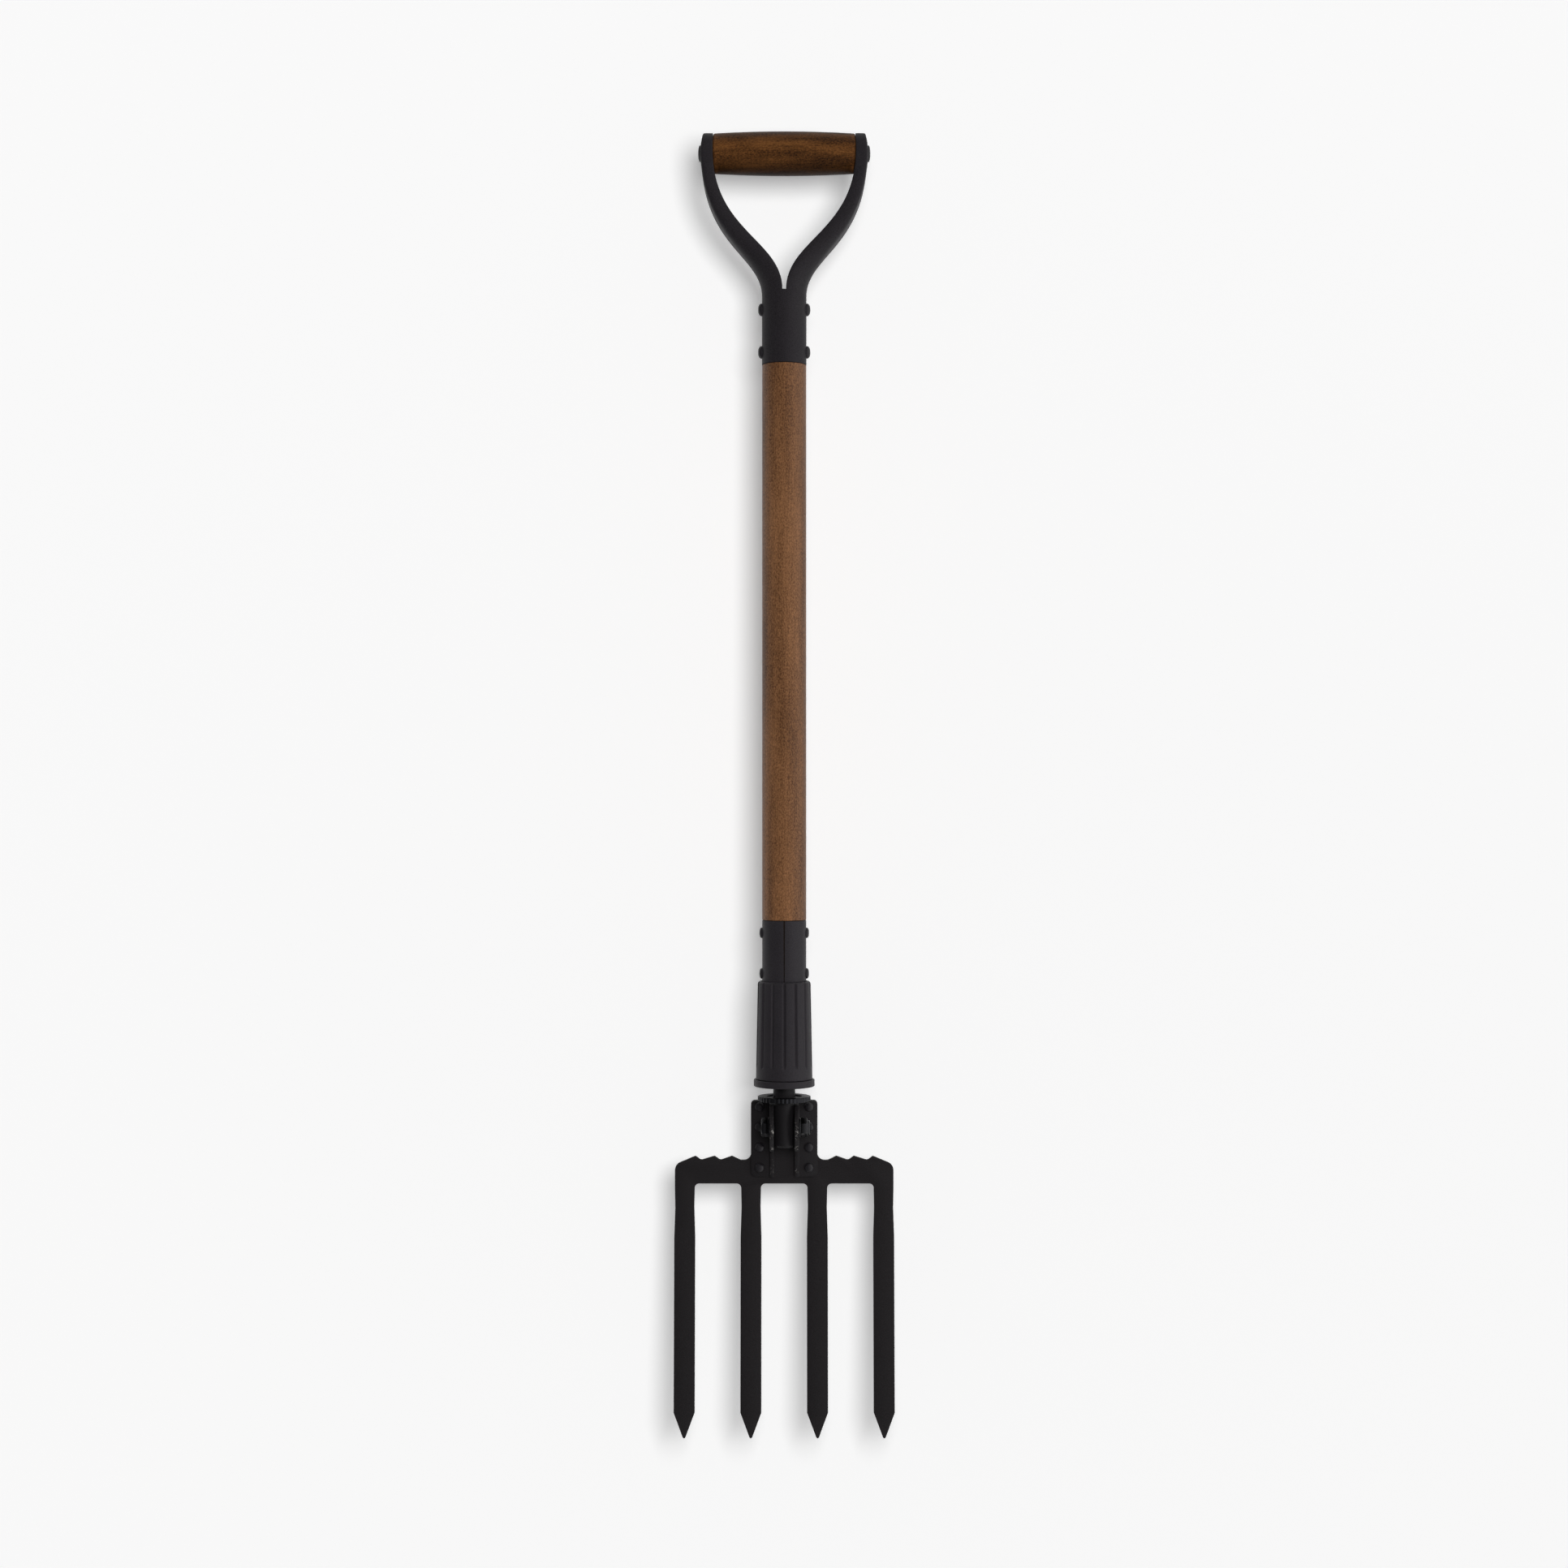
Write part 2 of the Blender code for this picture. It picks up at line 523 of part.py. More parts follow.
def make_socket_rivets(parent, socket, shaft):
    """Two rivets across the lower socket and the tenon in it."""
    places = {"socket_rivet_upper": SOCKET_RIVET_UPPER, "socket_rivet_lower": SOCKET_RIVET_LOWER}
    for name, place in places.items():
        tube_rivet(name, parent, place, SHAFT_RADIUS, SOCKET_RIVET_RADIUS,
                   SOCKET_RIVET_HEAD_RADIUS, SOCKET_RIVET_HEAD_HEIGHT)
    for target in (socket, shaft):
        cross_holes("socket_rivet_holes", target, parent, places.values(), SOCKET_RIVET_RADIUS,
                    SHAFT_RADIUS + OVERRUN)


def channel_section(inner, outer, half_width, squareness, wall):
    """Outer and inner wall of one C-shaped section, from its upper lip to its lower lip."""
    depth = outer - inner
    hollow = depth * (1.0 - wall / depth.length)
    power = ROUND_SECTION / squareness
    outer_wall = []
    inner_wall = []
    for step in range(ARC_FACETS + 1):
        angle = math.pi * (0.5 - step / ARC_FACETS)
        out = abs(math.cos(angle)) ** power if 0 < step < ARC_FACETS else 0.0
        rise = math.copysign(abs(math.sin(angle)) ** power, math.sin(angle))
        outer_wall.append(inner + depth * out + Vector((0.0, 0.0, half_width * rise)))
        inner_wall.append(inner + hollow * out + Vector((0.0, 0.0, (half_width - wall) * rise)))
    return outer_wall, inner_wall


def yoke_sections():
    """Sections of the yoke's right half: the tube's mouth, its crotch, then the arm to the eye."""
    mouth_inner = Vector((0.0, YOKE_START, 0.0))
    mouth_outer = Vector((YOKE_RADIUS, YOKE_START, 0.0))
    crotch_middle = Vector((0.0, YOKE_CROTCH, 0.0))
    before_spread = Vector((YOKE_RADIUS, YOKE_SPREAD - CROTCH_RUN, 0.0))
    crotch = Vector((CROTCH_HALF_WIDTH, YOKE_CROTCH, 0.0))
    spread = Vector((YOKE_RADIUS, YOKE_SPREAD, 0.0))
    lip_end = Vector((EYE_LIP_HALF_SPAN + ARM_INSET, GRIP_PLACE, 0.0))
    back_end = Vector((EYE_OUTER_HALF_SPAN + EYE_CROWN - ARM_INSET, GRIP_PLACE, 0.0))
    forward = Vector((0.0, ARM_LENGTH, 0.0))
    end_width = EYE_RADIUS - ARM_INSET
    sections = [channel_section(inner, outer, YOKE_RADIUS, ROUND_SECTION, YOKE_WALL)
                for inner, outer in ((mouth_inner, mouth_outer), (crotch_middle, before_spread))]
    for step in range(ARM_STATIONS + 1):
        share = step / ARM_STATIONS
        inner = bezier(crotch, crotch + forward * ARM_INNER_HANDLES[0],
                       lip_end - forward * ARM_INNER_HANDLES[1], lip_end, share)
        outer = bezier(spread, spread + forward * ARM_OUTER_HANDLES[0],
                       back_end - forward * ARM_OUTER_HANDLES[1], back_end, share)
        half_width = YOKE_RADIUS + (end_width - YOKE_RADIUS) * share
        squareness = ROUND_SECTION + ARM_END_SQUARENESS * share
        sections.append(channel_section(inner, outer, half_width, squareness, YOKE_WALL))
    return sections


def yoke_half_mesh():
    """Right half of the yoke as one skin, open where the left half joins it along the tube."""
    bm = bmesh.new()
    rows = []
    for outer_wall, inner_wall in yoke_sections():
        rows.append(([bm.verts.new(point) for point in outer_wall],
                     [bm.verts.new(point) for point in inner_wall]))
    for index, (low, high) in enumerate(zip(rows, rows[1:])):
        for wall in (0, 1):
            for step in range(ARC_FACETS):
                bm.faces.new((low[wall][step], low[wall][step + 1],
                              high[wall][step + 1], high[wall][step]))
        if index > 0:
            for lip in (0, ARC_FACETS):
                bm.faces.new((low[0][lip], low[1][lip], high[1][lip], high[0][lip]))
    for outer_wall, inner_wall in (rows[0], rows[-1]):
        for step in range(ARC_FACETS):
            bm.faces.new((outer_wall[step], outer_wall[step + 1],
                          inner_wall[step + 1], inner_wall[step]))
    return bm


def eye_cup(side):
    """An eye before it is bored: round edge, bent outer face and a flat spot for the bolt's head."""
    shoulder = EYE_OUTER_HALF_SPAN - EYE_EDGE
    edge = [(EYE_RADIUS - EYE_EDGE * (1.0 - math.cos(turn)), shoulder + EYE_EDGE * math.sin(turn))
            for turn in [QUARTER_TURN * step / DOME_FACETS for step in range(DOME_FACETS + 1)]]
    profile = ([(0.0, EYE_LIP_HALF_SPAN), (EYE_RADIUS, EYE_LIP_HALF_SPAN)] + edge
               + [(EYE_SEAT_RADIUS, EYE_OUTER_HALF_SPAN), (0.0, EYE_OUTER_HALF_SPAN)])
    bm = turned([(radius, side * along) for radius, along in profile], TUBE_FACETS)
    for vertex in bm.verts:
        if math.hypot(vertex.co.x, vertex.co.z) > EYE_SEAT_RADIUS + SAME_POINT:
            share = (abs(vertex.co.y) - EYE_LIP_HALF_SPAN) / EYE_DEPTH
            fall = (vertex.co.x - EYE_CROWN_DROP) ** 2 / (2.0 * EYE_BEND_RADIUS) - EYE_CROWN
            vertex.co.y -= side * share * fall
    return bm


def eye_bore(side):
    """What is cut from an eye: the cup for the grip's tenon and the hole for the bolt."""
    hole = GRIP_BOLT_RADIUS + GAP
    mouth = side * (EYE_LIP_HALF_SPAN - OVERRUN)
    web = side * EYE_WEB_INNER
    end = side * (EYE_OUTER_HALF_SPAN + OVERRUN)
    return turned([(0.0, mouth), (EYE_BORE_RADIUS, mouth), (EYE_BORE_RADIUS, web),
                   (hole, web), (hole, end), (0.0, end)], TUBE_FACETS)


def make_yoke(parent, shaft):
    """Yoke: the lofted half is mirrored, then an eye is joined to the end of each arm."""
    yoke = piece("yoke", yoke_half_mesh(), "powder_coat", parent)
    mirror = yoke.modifiers.new("halves", "MIRROR")
    mirror.use_axis = (True, False, False)
    mirror.merge_threshold = SAME_POINT
    places = {"yoke_rivet_lower": YOKE_RIVET_LOWER, "yoke_rivet_upper": YOKE_RIVET_UPPER}
    for name, place in places.items():
        tube_rivet(name, parent, place, YOKE_RADIUS, YOKE_RIVET_RADIUS,
                   YOKE_RIVET_HEAD_RADIUS, YOKE_RIVET_HEAD_HEIGHT)
    for target in (yoke, shaft):
        cross_holes("yoke_rivet_holes", target, parent, places.values(), YOKE_RIVET_RADIUS,
                    YOKE_RADIUS + OVERRUN)
    place = (0.0, GRIP_PLACE, 0.0)
    sides = (-1.0, 1.0)
    eyes = together([eye_cup(side) for side in sides])
    apply_tool(yoke, tool("yoke_eyes", eyes, parent, place, ALONG_X), "UNION")
    bores = together([eye_bore(side) for side in sides])
    apply_tool(yoke, tool("yoke_eye_bores", bores, parent, place, ALONG_X))


def make_grip(parent):
    """Turned barrel, thicker in the middle, with a tenon in each eye and a bore for the bolt."""
    tenon = EYE_BORE_RADIUS - GAP
    bore = GRIP_BOLT_RADIUS + GAP
    half = GRIP_HALF_LENGTH
    end = EYE_WEB_INNER - GRIP_TENON_GAP
    barrel = []
    for step in range(GRIP_STATIONS + 1):
        along = (half - GRIP_EDGE) * (2.0 * step / GRIP_STATIONS - 1.0)
        swell = 1.0 - (along / half) ** 2
        barrel.append((GRIP_END_RADIUS + GRIP_SWELL * swell, along))
    rim = GRIP_END_RADIUS - GRIP_EDGE
    profile = ([(bore, -end), (tenon, -end), (tenon, -half), (rim, -half)] + barrel
               + [(rim, half), (tenon, half), (tenon, end), (bore, end)])
    return piece("grip", turned(profile, TUBE_FACETS, closed=True), "grip_wood", parent,
                 (0.0, GRIP_PLACE, 0.0), ALONG_X)


def make_grip_bolt(parent):
    """Bolt across the grip, and the cap whose sleeve takes the bolt's thread."""
    seat = EYE_OUTER_HALF_SPAN + GAP
    joint = EYE_OUTER_HALF_SPAN - CAP_SLEEVE_LENGTH
    bolt_end = EYE_OUTER_HALF_SPAN - CAP_THREAD_STOP
    rim = GRIP_BOLT_HEAD_HEIGHT * GRIP_BOLT_RIM_SHARE
    head = dome(GRIP_BOLT_HEAD_RADIUS, seat + rim, GRIP_BOLT_HEAD_HEIGHT - rim)
    bolt = [(0.0, bolt_end), (GRIP_BOLT_THREAD_RADIUS, bolt_end),
            (GRIP_BOLT_THREAD_RADIUS, joint - GAP),
            (GRIP_BOLT_RADIUS, joint - GAP), (GRIP_BOLT_RADIUS, -seat),
            (GRIP_BOLT_HEAD_RADIUS, -seat)] + [(radius, -along) for radius, along in head]
    piece("grip_bolt", turned(bolt, SMALL_FACETS), "powder_coat", parent,
          (0.0, GRIP_PLACE, 0.0), ALONG_X)
    sleeve_bore = GRIP_BOLT_THREAD_RADIUS + GAP
    bore_end = bolt_end + OVERRUN
    cap = [(0.0, bore_end), (sleeve_bore, bore_end), (sleeve_bore, joint),
           (GRIP_BOLT_RADIUS, joint), (GRIP_BOLT_RADIUS, seat),
           (GRIP_BOLT_HEAD_RADIUS, seat)] + head
    piece("grip_bolt_cap", turned(cap, SMALL_FACETS), "powder_coat", parent,
          (0.0, GRIP_PLACE, 0.0), ALONG_X)


def make_ferrule_and_stem(parent):
    """Threaded ferrule in the socket's foot, the hinge stem in it, and the pin that holds both."""
    bore = STEM_RADIUS + GAP
    shoulder = SOCKET_START - GAP
    spigot = SHAFT_RADIUS - SOCKET_WALL - GAP
    top = shoulder + FERRULE_SPIGOT
    ferrule = piece("threaded_ferrule", turned([
        (bore, FERRULE_START), (SHAFT_RADIUS - FOOT_EDGE, FERRULE_START),
        (SHAFT_RADIUS, FERRULE_START + FOOT_EDGE), (SHAFT_RADIUS, shoulder),
        (spigot, shoulder), (spigot, top), (bore, top)], TUBE_FACETS, closed=True),
        "bright_steel", parent)
    stem = piece("hinge_stem", turned([
        (0.0, -STEM_FOOT), (STEM_RADIUS - STEM_EDGE, -STEM_FOOT),
        (STEM_RADIUS, STEM_EDGE - STEM_FOOT), (STEM_RADIUS, STEM_TOP), (0.0, STEM_TOP)],
        TUBE_FACETS), "powder_coat", parent)
    for side, label in ((-1.0, "left"), (1.0, "right")):
        near = side * STEM_FLAT_HALF_WIDTH
        reach = STEM_RADIUS + OVERRUN
        low = -STEM_FOOT - OVERRUN
        flat = [(near, low, -reach), (near, STEM_FLAT_TOP, -reach),
                (near, STEM_FLAT_TOP, reach), (near, low, reach)]
        apply_tool(stem, tool(f"{label}_stem_flat", extruded(flat, (side * reach, 0.0, 0.0)),
                              parent))
    pivot_hole = cylinder(BUSH_RADIUS + GAP, -STEM_RADIUS - OVERRUN, STEM_RADIUS + OVERRUN,
                          SMALL_FACETS)
    apply_tool(stem, tool("stem_pivot_hole", pivot_hole, parent, rotation=ALONG_X))
    for target in (ferrule, stem):
        cross_holes("cross_pin_hole", target, parent, [CROSS_PIN_PLACE], CROSS_PIN_RADIUS,
                    SHAFT_RADIUS + OVERRUN)
    half = SHAFT_RADIUS - CROSS_PIN_RECESS
    piece("stem_cross_pin", cylinder(CROSS_PIN_RADIUS, -half, half, RIVET_FACETS),
          "bright_steel", parent, (0.0, CROSS_PIN_PLACE, 0.0), ALONG_X)
    bush_bore = PIVOT_RADIUS + GAP
    half = math.sqrt(STEM_RADIUS ** 2 - BUSH_RADIUS ** 2) - GAP
    piece("pivot_bush", turned([
        (bush_bore, -half), (BUSH_RADIUS, -half), (BUSH_RADIUS, half), (bush_bore, half)],
        SMALL_FACETS, closed=True), "bronze", parent, rotation=ALONG_X)


def flute_angles():
    """Angles round the collar: five across each flute and one on each land."""
    pitch = 2.0 * math.pi / FLUTE_COUNT
    half = FLUTE_WIDTH / COLLAR_RADIUS / 2.0
    angles = []
    for flute in range(FLUTE_COUNT):
        for share in FLUTE_SHARES:
            cut = 1.0 - share ** 2
            angles.append((flute * pitch + share * half, cut))
        angles.append(((flute + 0.5) * pitch, 0.0))
    return angles


def collar_ring(height, edge_inset, runout):
    """One ring of the collar's outside. Runout is 0 on the plain band and 1 in the full flutes."""
    rise = (height - COLLAR_BOTTOM) / COLLAR_LENGTH
    body = COLLAR_RADIUS - COLLAR_TAPER * rise
    ring = []
    for angle, cut in flute_angles():
        radius = min(body - edge_inset, body - FLUTE_DEPTH * cut * runout)
        ring.append((radius * math.sin(angle), height, radius * math.cos(angle)))
    return ring


def make_collar(parent):
    """Fluted locking collar, bored to run on the ferrule and stepped for the foot ring's hub."""
    low = COLLAR_BOTTOM
    top = low + COLLAR_LENGTH
    start = low + FLUTE_START
    rings = [collar_ring(low, COLLAR_EDGE, 0.0), collar_ring(low + COLLAR_EDGE, 0.0, 0.0),
             collar_ring(start - FLUTE_RUNOUT / 2.0, 0.0, 0.0),
             collar_ring(start, 0.0, FLUTE_RUNOUT_SHARE),
             collar_ring(start + FLUTE_RUNOUT, 0.0, 1.0)]
    for step in range(CORNER_FACETS):
        angle = QUARTER_TURN * step / (CORNER_FACETS - 1)
        rings.append(collar_ring(top - COLLAR_TOP_EDGE * (1.0 - math.sin(angle)),
                                 COLLAR_TOP_EDGE * (1.0 - math.cos(angle)), 1.0))
    collar = piece("locking_collar", lofted(rings), "powder_coat", parent, (0.0, FOOT_PLACE, 0.0))
    bore = SHAFT_RADIUS + SLIDE_GAP
    seat = HUB_RADIUS + GAP
    groove = SNAP_OUTER_RADIUS + GAP
    hollow = turned([
        (0.0, low - OVERRUN), (seat, low - OVERRUN), (seat, SNAP_PLACE - SLIDE_GAP),
        (groove, SNAP_PLACE - SLIDE_GAP), (groove, SNAP_PLACE + SNAP_HEIGHT + SLIDE_GAP),
        (seat, SNAP_PLACE + SNAP_HEIGHT + SLIDE_GAP), (seat, HUB_HEIGHT + SLIDE_GAP),
        (bore, HUB_HEIGHT + SLIDE_GAP), (bore, top + OVERRUN), (0.0, top + OVERRUN)], RING_FACETS)
    apply_tool(collar, tool("collar_bore", hollow, parent, (0.0, FOOT_PLACE, 0.0)))


def make_foot_ring(parent):
    """Foot ring that stays still while the collar turns on it, and the snap ring between them."""
    bore = SHAFT_RADIUS + SLIDE_GAP
    groove = SNAP_INNER_RADIUS - GAP
    piece("collar_foot_ring", turned([
        (bore, 0.0), (FOOT_RADIUS - FOOT_EDGE, 0.0), (FOOT_RADIUS, FOOT_EDGE),
        (FOOT_RADIUS, FOOT_HEIGHT - FOOT_EDGE), (FOOT_RADIUS - FOOT_EDGE, FOOT_HEIGHT),
        (HUB_RADIUS, FOOT_HEIGHT), (HUB_RADIUS, SNAP_PLACE - GAP), (groove, SNAP_PLACE - GAP),
        (groove, SNAP_PLACE + SNAP_HEIGHT + GAP), (HUB_RADIUS, SNAP_PLACE + SNAP_HEIGHT + GAP),
        (HUB_RADIUS, HUB_HEIGHT), (bore, HUB_HEIGHT)], RING_FACETS, closed=True),
        "powder_coat", parent, (0.0, FOOT_PLACE, 0.0))
    piece("collar_snap_ring", turned([
        (SNAP_INNER_RADIUS, SNAP_PLACE), (SNAP_OUTER_RADIUS, SNAP_PLACE),
        (SNAP_OUTER_RADIUS, SNAP_PLACE + SNAP_HEIGHT),
        (SNAP_INNER_RADIUS, SNAP_PLACE + SNAP_HEIGHT)], RING_FACETS, closed=True,
        sweep=2.0 * math.pi - SNAP_OPENING), "bright_steel", parent, (0.0, FOOT_PLACE, 0.0))


def serrated_ring(height, inset):
    """One ring of the thrust ring's toothed rim."""
    ring = []
    for step in range(2 * RING_TEETH):
        angle = math.pi * step / RING_TEETH
        radius = RING_RADIUS - inset - (RING_TOOTH_DEPTH if step % 2 else 0.0)
        ring.append((radius * math.cos(angle), height, radius * math.sin(angle)))
    return ring


def make_thrust_ring(parent):
    """Loose serrated ring on the stem, dished on top, that locks on the flats of the ears."""
    rim = lofted([serrated_ring(0.0, RING_EDGE), serrated_ring(RING_EDGE, 0.0),
                  serrated_ring(RING_THICKNESS - RING_EDGE, 0.0),
                  serrated_ring(RING_THICKNESS, RING_EDGE)])
    ring = piece("thrust_ring", rim, "dark_steel", parent, (0.0, RING_PLACE, 0.0))
    floor = RING_THICKNESS - RING_RECESS_DEPTH
    bore = STEM_RADIUS + GAP
    hollow = turned([(0.0, -OVERRUN), (bore, -OVERRUN), (bore, floor), (RING_RECESS_RADIUS, floor),
                     (RING_RECESS_RADIUS, RING_THICKNESS + OVERRUN),
                     (0.0, RING_THICKNESS + OVERRUN)], TUBE_FACETS)
    apply_tool(ring, tool("thrust_ring_bore", hollow, parent, (0.0, RING_PLACE, 0.0)))


def angle_stock(side):
    """L-shaped bar that a bracket is cut from, along Y: the ear's leg and the flange's leg."""
    outer_bend = BRACKET_BEND + BRACKET_THICKNESS
    reach = EAR_APOTHEM + OVERRUN
    section = rounded([
        (EAR_INNER_FACE, reach, 0.0), (EAR_INNER_FACE, FLANGE_BACK, outer_bend),
        (BRACKET_HALF_WIDTH + OVERRUN, FLANGE_BACK, 0.0),
        (BRACKET_HALF_WIDTH + OVERRUN, FLANGE_FRONT, 0.0),
        (EAR_OUTER_FACE, FLANGE_FRONT, BRACKET_BEND), (EAR_OUTER_FACE, reach, 0.0)])
    start = -BRACKET_FOOT - OVERRUN
    outline = [(side * point.x, start, point.y) for point in section]
    return extruded(outline, (0.0, BRACKET_FOOT + EAR_APOTHEM + 2.0 * OVERRUN, 0.0))


def ear_outline():
    """Side view of a bracket as (along, height): the octagon of the ear and the low rib."""
    half_flat = EAR_APOTHEM * math.tan(OCTAGON_HALF_ANGLE)
    rib = FLANGE_FRONT + RIB_HEIGHT
    under = FLANGE_BACK - OVERRUN
    high = EAR_APOTHEM + OVERRUN
    low = -BRACKET_FOOT - OVERRUN
    return [(high, under), (high, half_flat - OVERRUN), (half_flat, EAR_APOTHEM),
            (-half_flat, EAR_APOTHEM), (-EAR_APOTHEM, half_flat),
            (-EAR_APOTHEM, rib + RIB_HEIGHT), (-EAR_APOTHEM - RIB_HEIGHT, rib),
            (low, rib), (low, under)]


def flange_outline(side):
    """Top view of a bracket as (across, along), with its outer corners rounded."""
    near = EAR_INNER_FACE - OVERRUN
    corners = rounded([
        (near, -BRACKET_FOOT, 0.0), (near, EAR_APOTHEM, 0.0),
        (BRACKET_HALF_WIDTH, EAR_APOTHEM, FLANGE_TOP_CORNER),
        (BRACKET_HALF_WIDTH, -BRACKET_FOOT, FLANGE_FOOT_CORNER)])
    return [(side * point.x, point.y) for point in corners]


def make_bracket(parent, side, label):
    """Steel angle: an octagonal ear on the pivot and a flange riveted to the fork plate."""
    bracket = piece(f"{label}_bracket", angle_stock(side), "powder_coat", parent)
    across = side * (BRACKET_HALF_WIDTH + 2.0 * OVERRUN)
    profile = [(0.0, along, height) for along, height in ear_outline()]
    apply_tool(bracket, tool(f"{label}_ear_outline", extruded(profile, (across, 0.0, 0.0)),
                             parent), "INTERSECT")
    plan = [(x, along, FLANGE_BACK - OVERRUN) for x, along in flange_outline(side)]
    height = EAR_APOTHEM - FLANGE_BACK + 2.0 * OVERRUN
    apply_tool(bracket, tool(f"{label}_flange_outline", extruded(plan, (0.0, 0.0, height)),
                             parent), "INTERSECT")
    pivot = cylinder(PIVOT_RADIUS + GAP, 0.0, side * (EAR_OUTER_FACE + OVERRUN), SMALL_FACETS)
    apply_tool(bracket, tool(f"{label}_ear_hole", pivot, parent, rotation=ALONG_X))
    return bracket


def tine_centres():
    """Centre lines of the tines, from left to right."""
    first = -TINE_PITCH * (TINES - 1) / 2.0
    return [first + TINE_PITCH * index for index in range(TINES)]


def crossbar_outline():
    """Outline of the plate above the tines, clockwise from the tang's right corner."""
    root = CROSSBAR_FOOT + GAP_CORNER
    half_root = TINE_ROOT_WIDTH / 2.0
    right = [(BRACKET_HALF_WIDTH, EAR_APOTHEM, TANG_CORNER),
             (BRACKET_HALF_WIDTH, -STEP_LEVEL, TANG_FILLET)]
    run = CROSSBAR_HALF_WIDTH - BRACKET_HALF_WIDTH
    for valley, peak in zip(STEP_VALLEYS, STEP_PEAKS):
        right.append((BRACKET_HALF_WIDTH + run * valley, -STEP_LEVEL, STEP_VALLEY_RADIUS))
        right.append((BRACKET_HALF_WIDTH + run * peak, STEP_HEIGHT - STEP_LEVEL, PLATE_EDGE))
    right.append((CROSSBAR_HALF_WIDTH, -STEP_LEVEL - SHOULDER_FALL, SHOULDER_RADIUS))
    left = [(-x, y, radius) for x, y, radius in reversed(right)]
    bottom = []
    centres = list(reversed(tine_centres()))
    for index, centre in enumerate(centres):
        bottom += [(centre + half_root, -root, 0.0), (centre - half_root, -root, 0.0)]
        if index + 1 < len(centres):
            bottom += [(centre - half_root, -CROSSBAR_FOOT, GAP_CORNER),
                       (centres[index + 1] + half_root, -CROSSBAR_FOOT, GAP_CORNER)]
    return rounded(right + bottom + left)


def tine_lift(place):
    """How far a tine's bend has raised it at a place below the pivot."""
    run = max(0.0, place - TINE_BEND_START)
    bent = min(run, TINE_BEND_LENGTH)
    slope = math.tan(TINE_BEND)
    return slope * bent ** 2 / (2.0 * TINE_BEND_LENGTH) + slope * (run - bent)


def tine_stations():
    """Places along a tine below the pivot, each with the tine's half width there."""
    root_run = TINE_WAIST - CROSSBAR_FOOT - GAP_CORNER
    before_bend = (TINE_BEND_START - CROSSBAR_FOOT - GAP_CORNER) / root_run
    start_width = TINE_ROOT_WIDTH + (TINE_WAIST_WIDTH - TINE_ROOT_WIDTH) * before_bend
    bend_end = TINE_BEND_START + TINE_BEND_LENGTH
    swell_share = (bend_end - TINE_WAIST) / (TINE_SWELL - TINE_WAIST)
    swell_width = TINE_WAIST_WIDTH + (TINE_WIDTH - TINE_WAIST_WIDTH) * swell_share
    tip_share = 1.0 - TINE_TIP_ROUND / TINE_POINT_LENGTH
    shoulder = TINE_WIDTH + (TINE_TIP_WIDTH - TINE_WIDTH) * tip_share
    widths = [(TINE_BEND_START, start_width), (TINE_WAIST, TINE_WAIST_WIDTH),
              (bend_end, swell_width), (TINE_SWELL, TINE_WIDTH), (TINE_TAPER, TINE_WIDTH),
              (TINE_TIP - TINE_TIP_ROUND, shoulder), (TINE_TIP, TINE_TIP_WIDTH / 2.0)]
    return [(place, width / 2.0) for place, width in widths]


def make_fork_plate(parent):
    """Fork cut from one plate: tang, stepped crossbar and four pointed tines, bent at the waist."""
    bm = bmesh.new()
    vertices = [bm.verts.new((point.x, point.y, PLATE_FRONT)) for point in crossbar_outline()]
    bm.faces.new(vertices)
    bm.edges.ensure_lookup_table()
    root = -CROSSBAR_FOOT - GAP_CORNER
    for centre in tine_centres():
        ends = [vertex for vertex in vertices
                if abs(abs(vertex.co.x - centre) - TINE_ROOT_WIDTH / 2.0) < ON_PLACE
                and abs(vertex.co.y - root) < ON_PLACE]
        edge = bm.edges.get(ends)
        for place, half_width in tine_stations():
            result = bmesh.ops.extrude_edge_only(bm, edges=[edge])
            edge = next(item for item in result["geom"] if isinstance(item, bmesh.types.BMEdge)
                        and all(vertex in result["geom"] for vertex in item.verts))
            for vertex in edge.verts:
                side = math.copysign(half_width, vertex.co.x - centre)
                vertex.co = (centre + side, -place, PLATE_FRONT + tine_lift(place))
    result = bmesh.ops.extrude_face_region(bm, geom=list(bm.faces))
    moved = [item for item in result["geom"] if isinstance(item, bmesh.types.BMVert)]
    bmesh.ops.translate(bm, verts=moved, vec=(0.0, 0.0, -PLATE_THICKNESS))
    plate = piece("fork_plate", bm, "powder_coat", parent)
    bevel = plate.modifiers.new("edges", "BEVEL")
    bevel.width = PLATE_EDGE
    bevel.segments = 1
    bevel.limit_method = "ANGLE"
    bevel.angle_limit = BEVEL_ANGLE
    return plate


def rivet_places():
    """Name, side and centre of each rivet that holds a flange to the plate."""
    for side, label in ((-1.0, "left"), (1.0, "right")):
        for index in range(PLATE_RIVETS):
            place = (side * PLATE_RIVET_SPREAD, PLATE_RIVET_TOP - index * PLATE_RIVET_PITCH, 0.0)
            yield f"bracket_rivet_{label}_{index + 1}", label, place


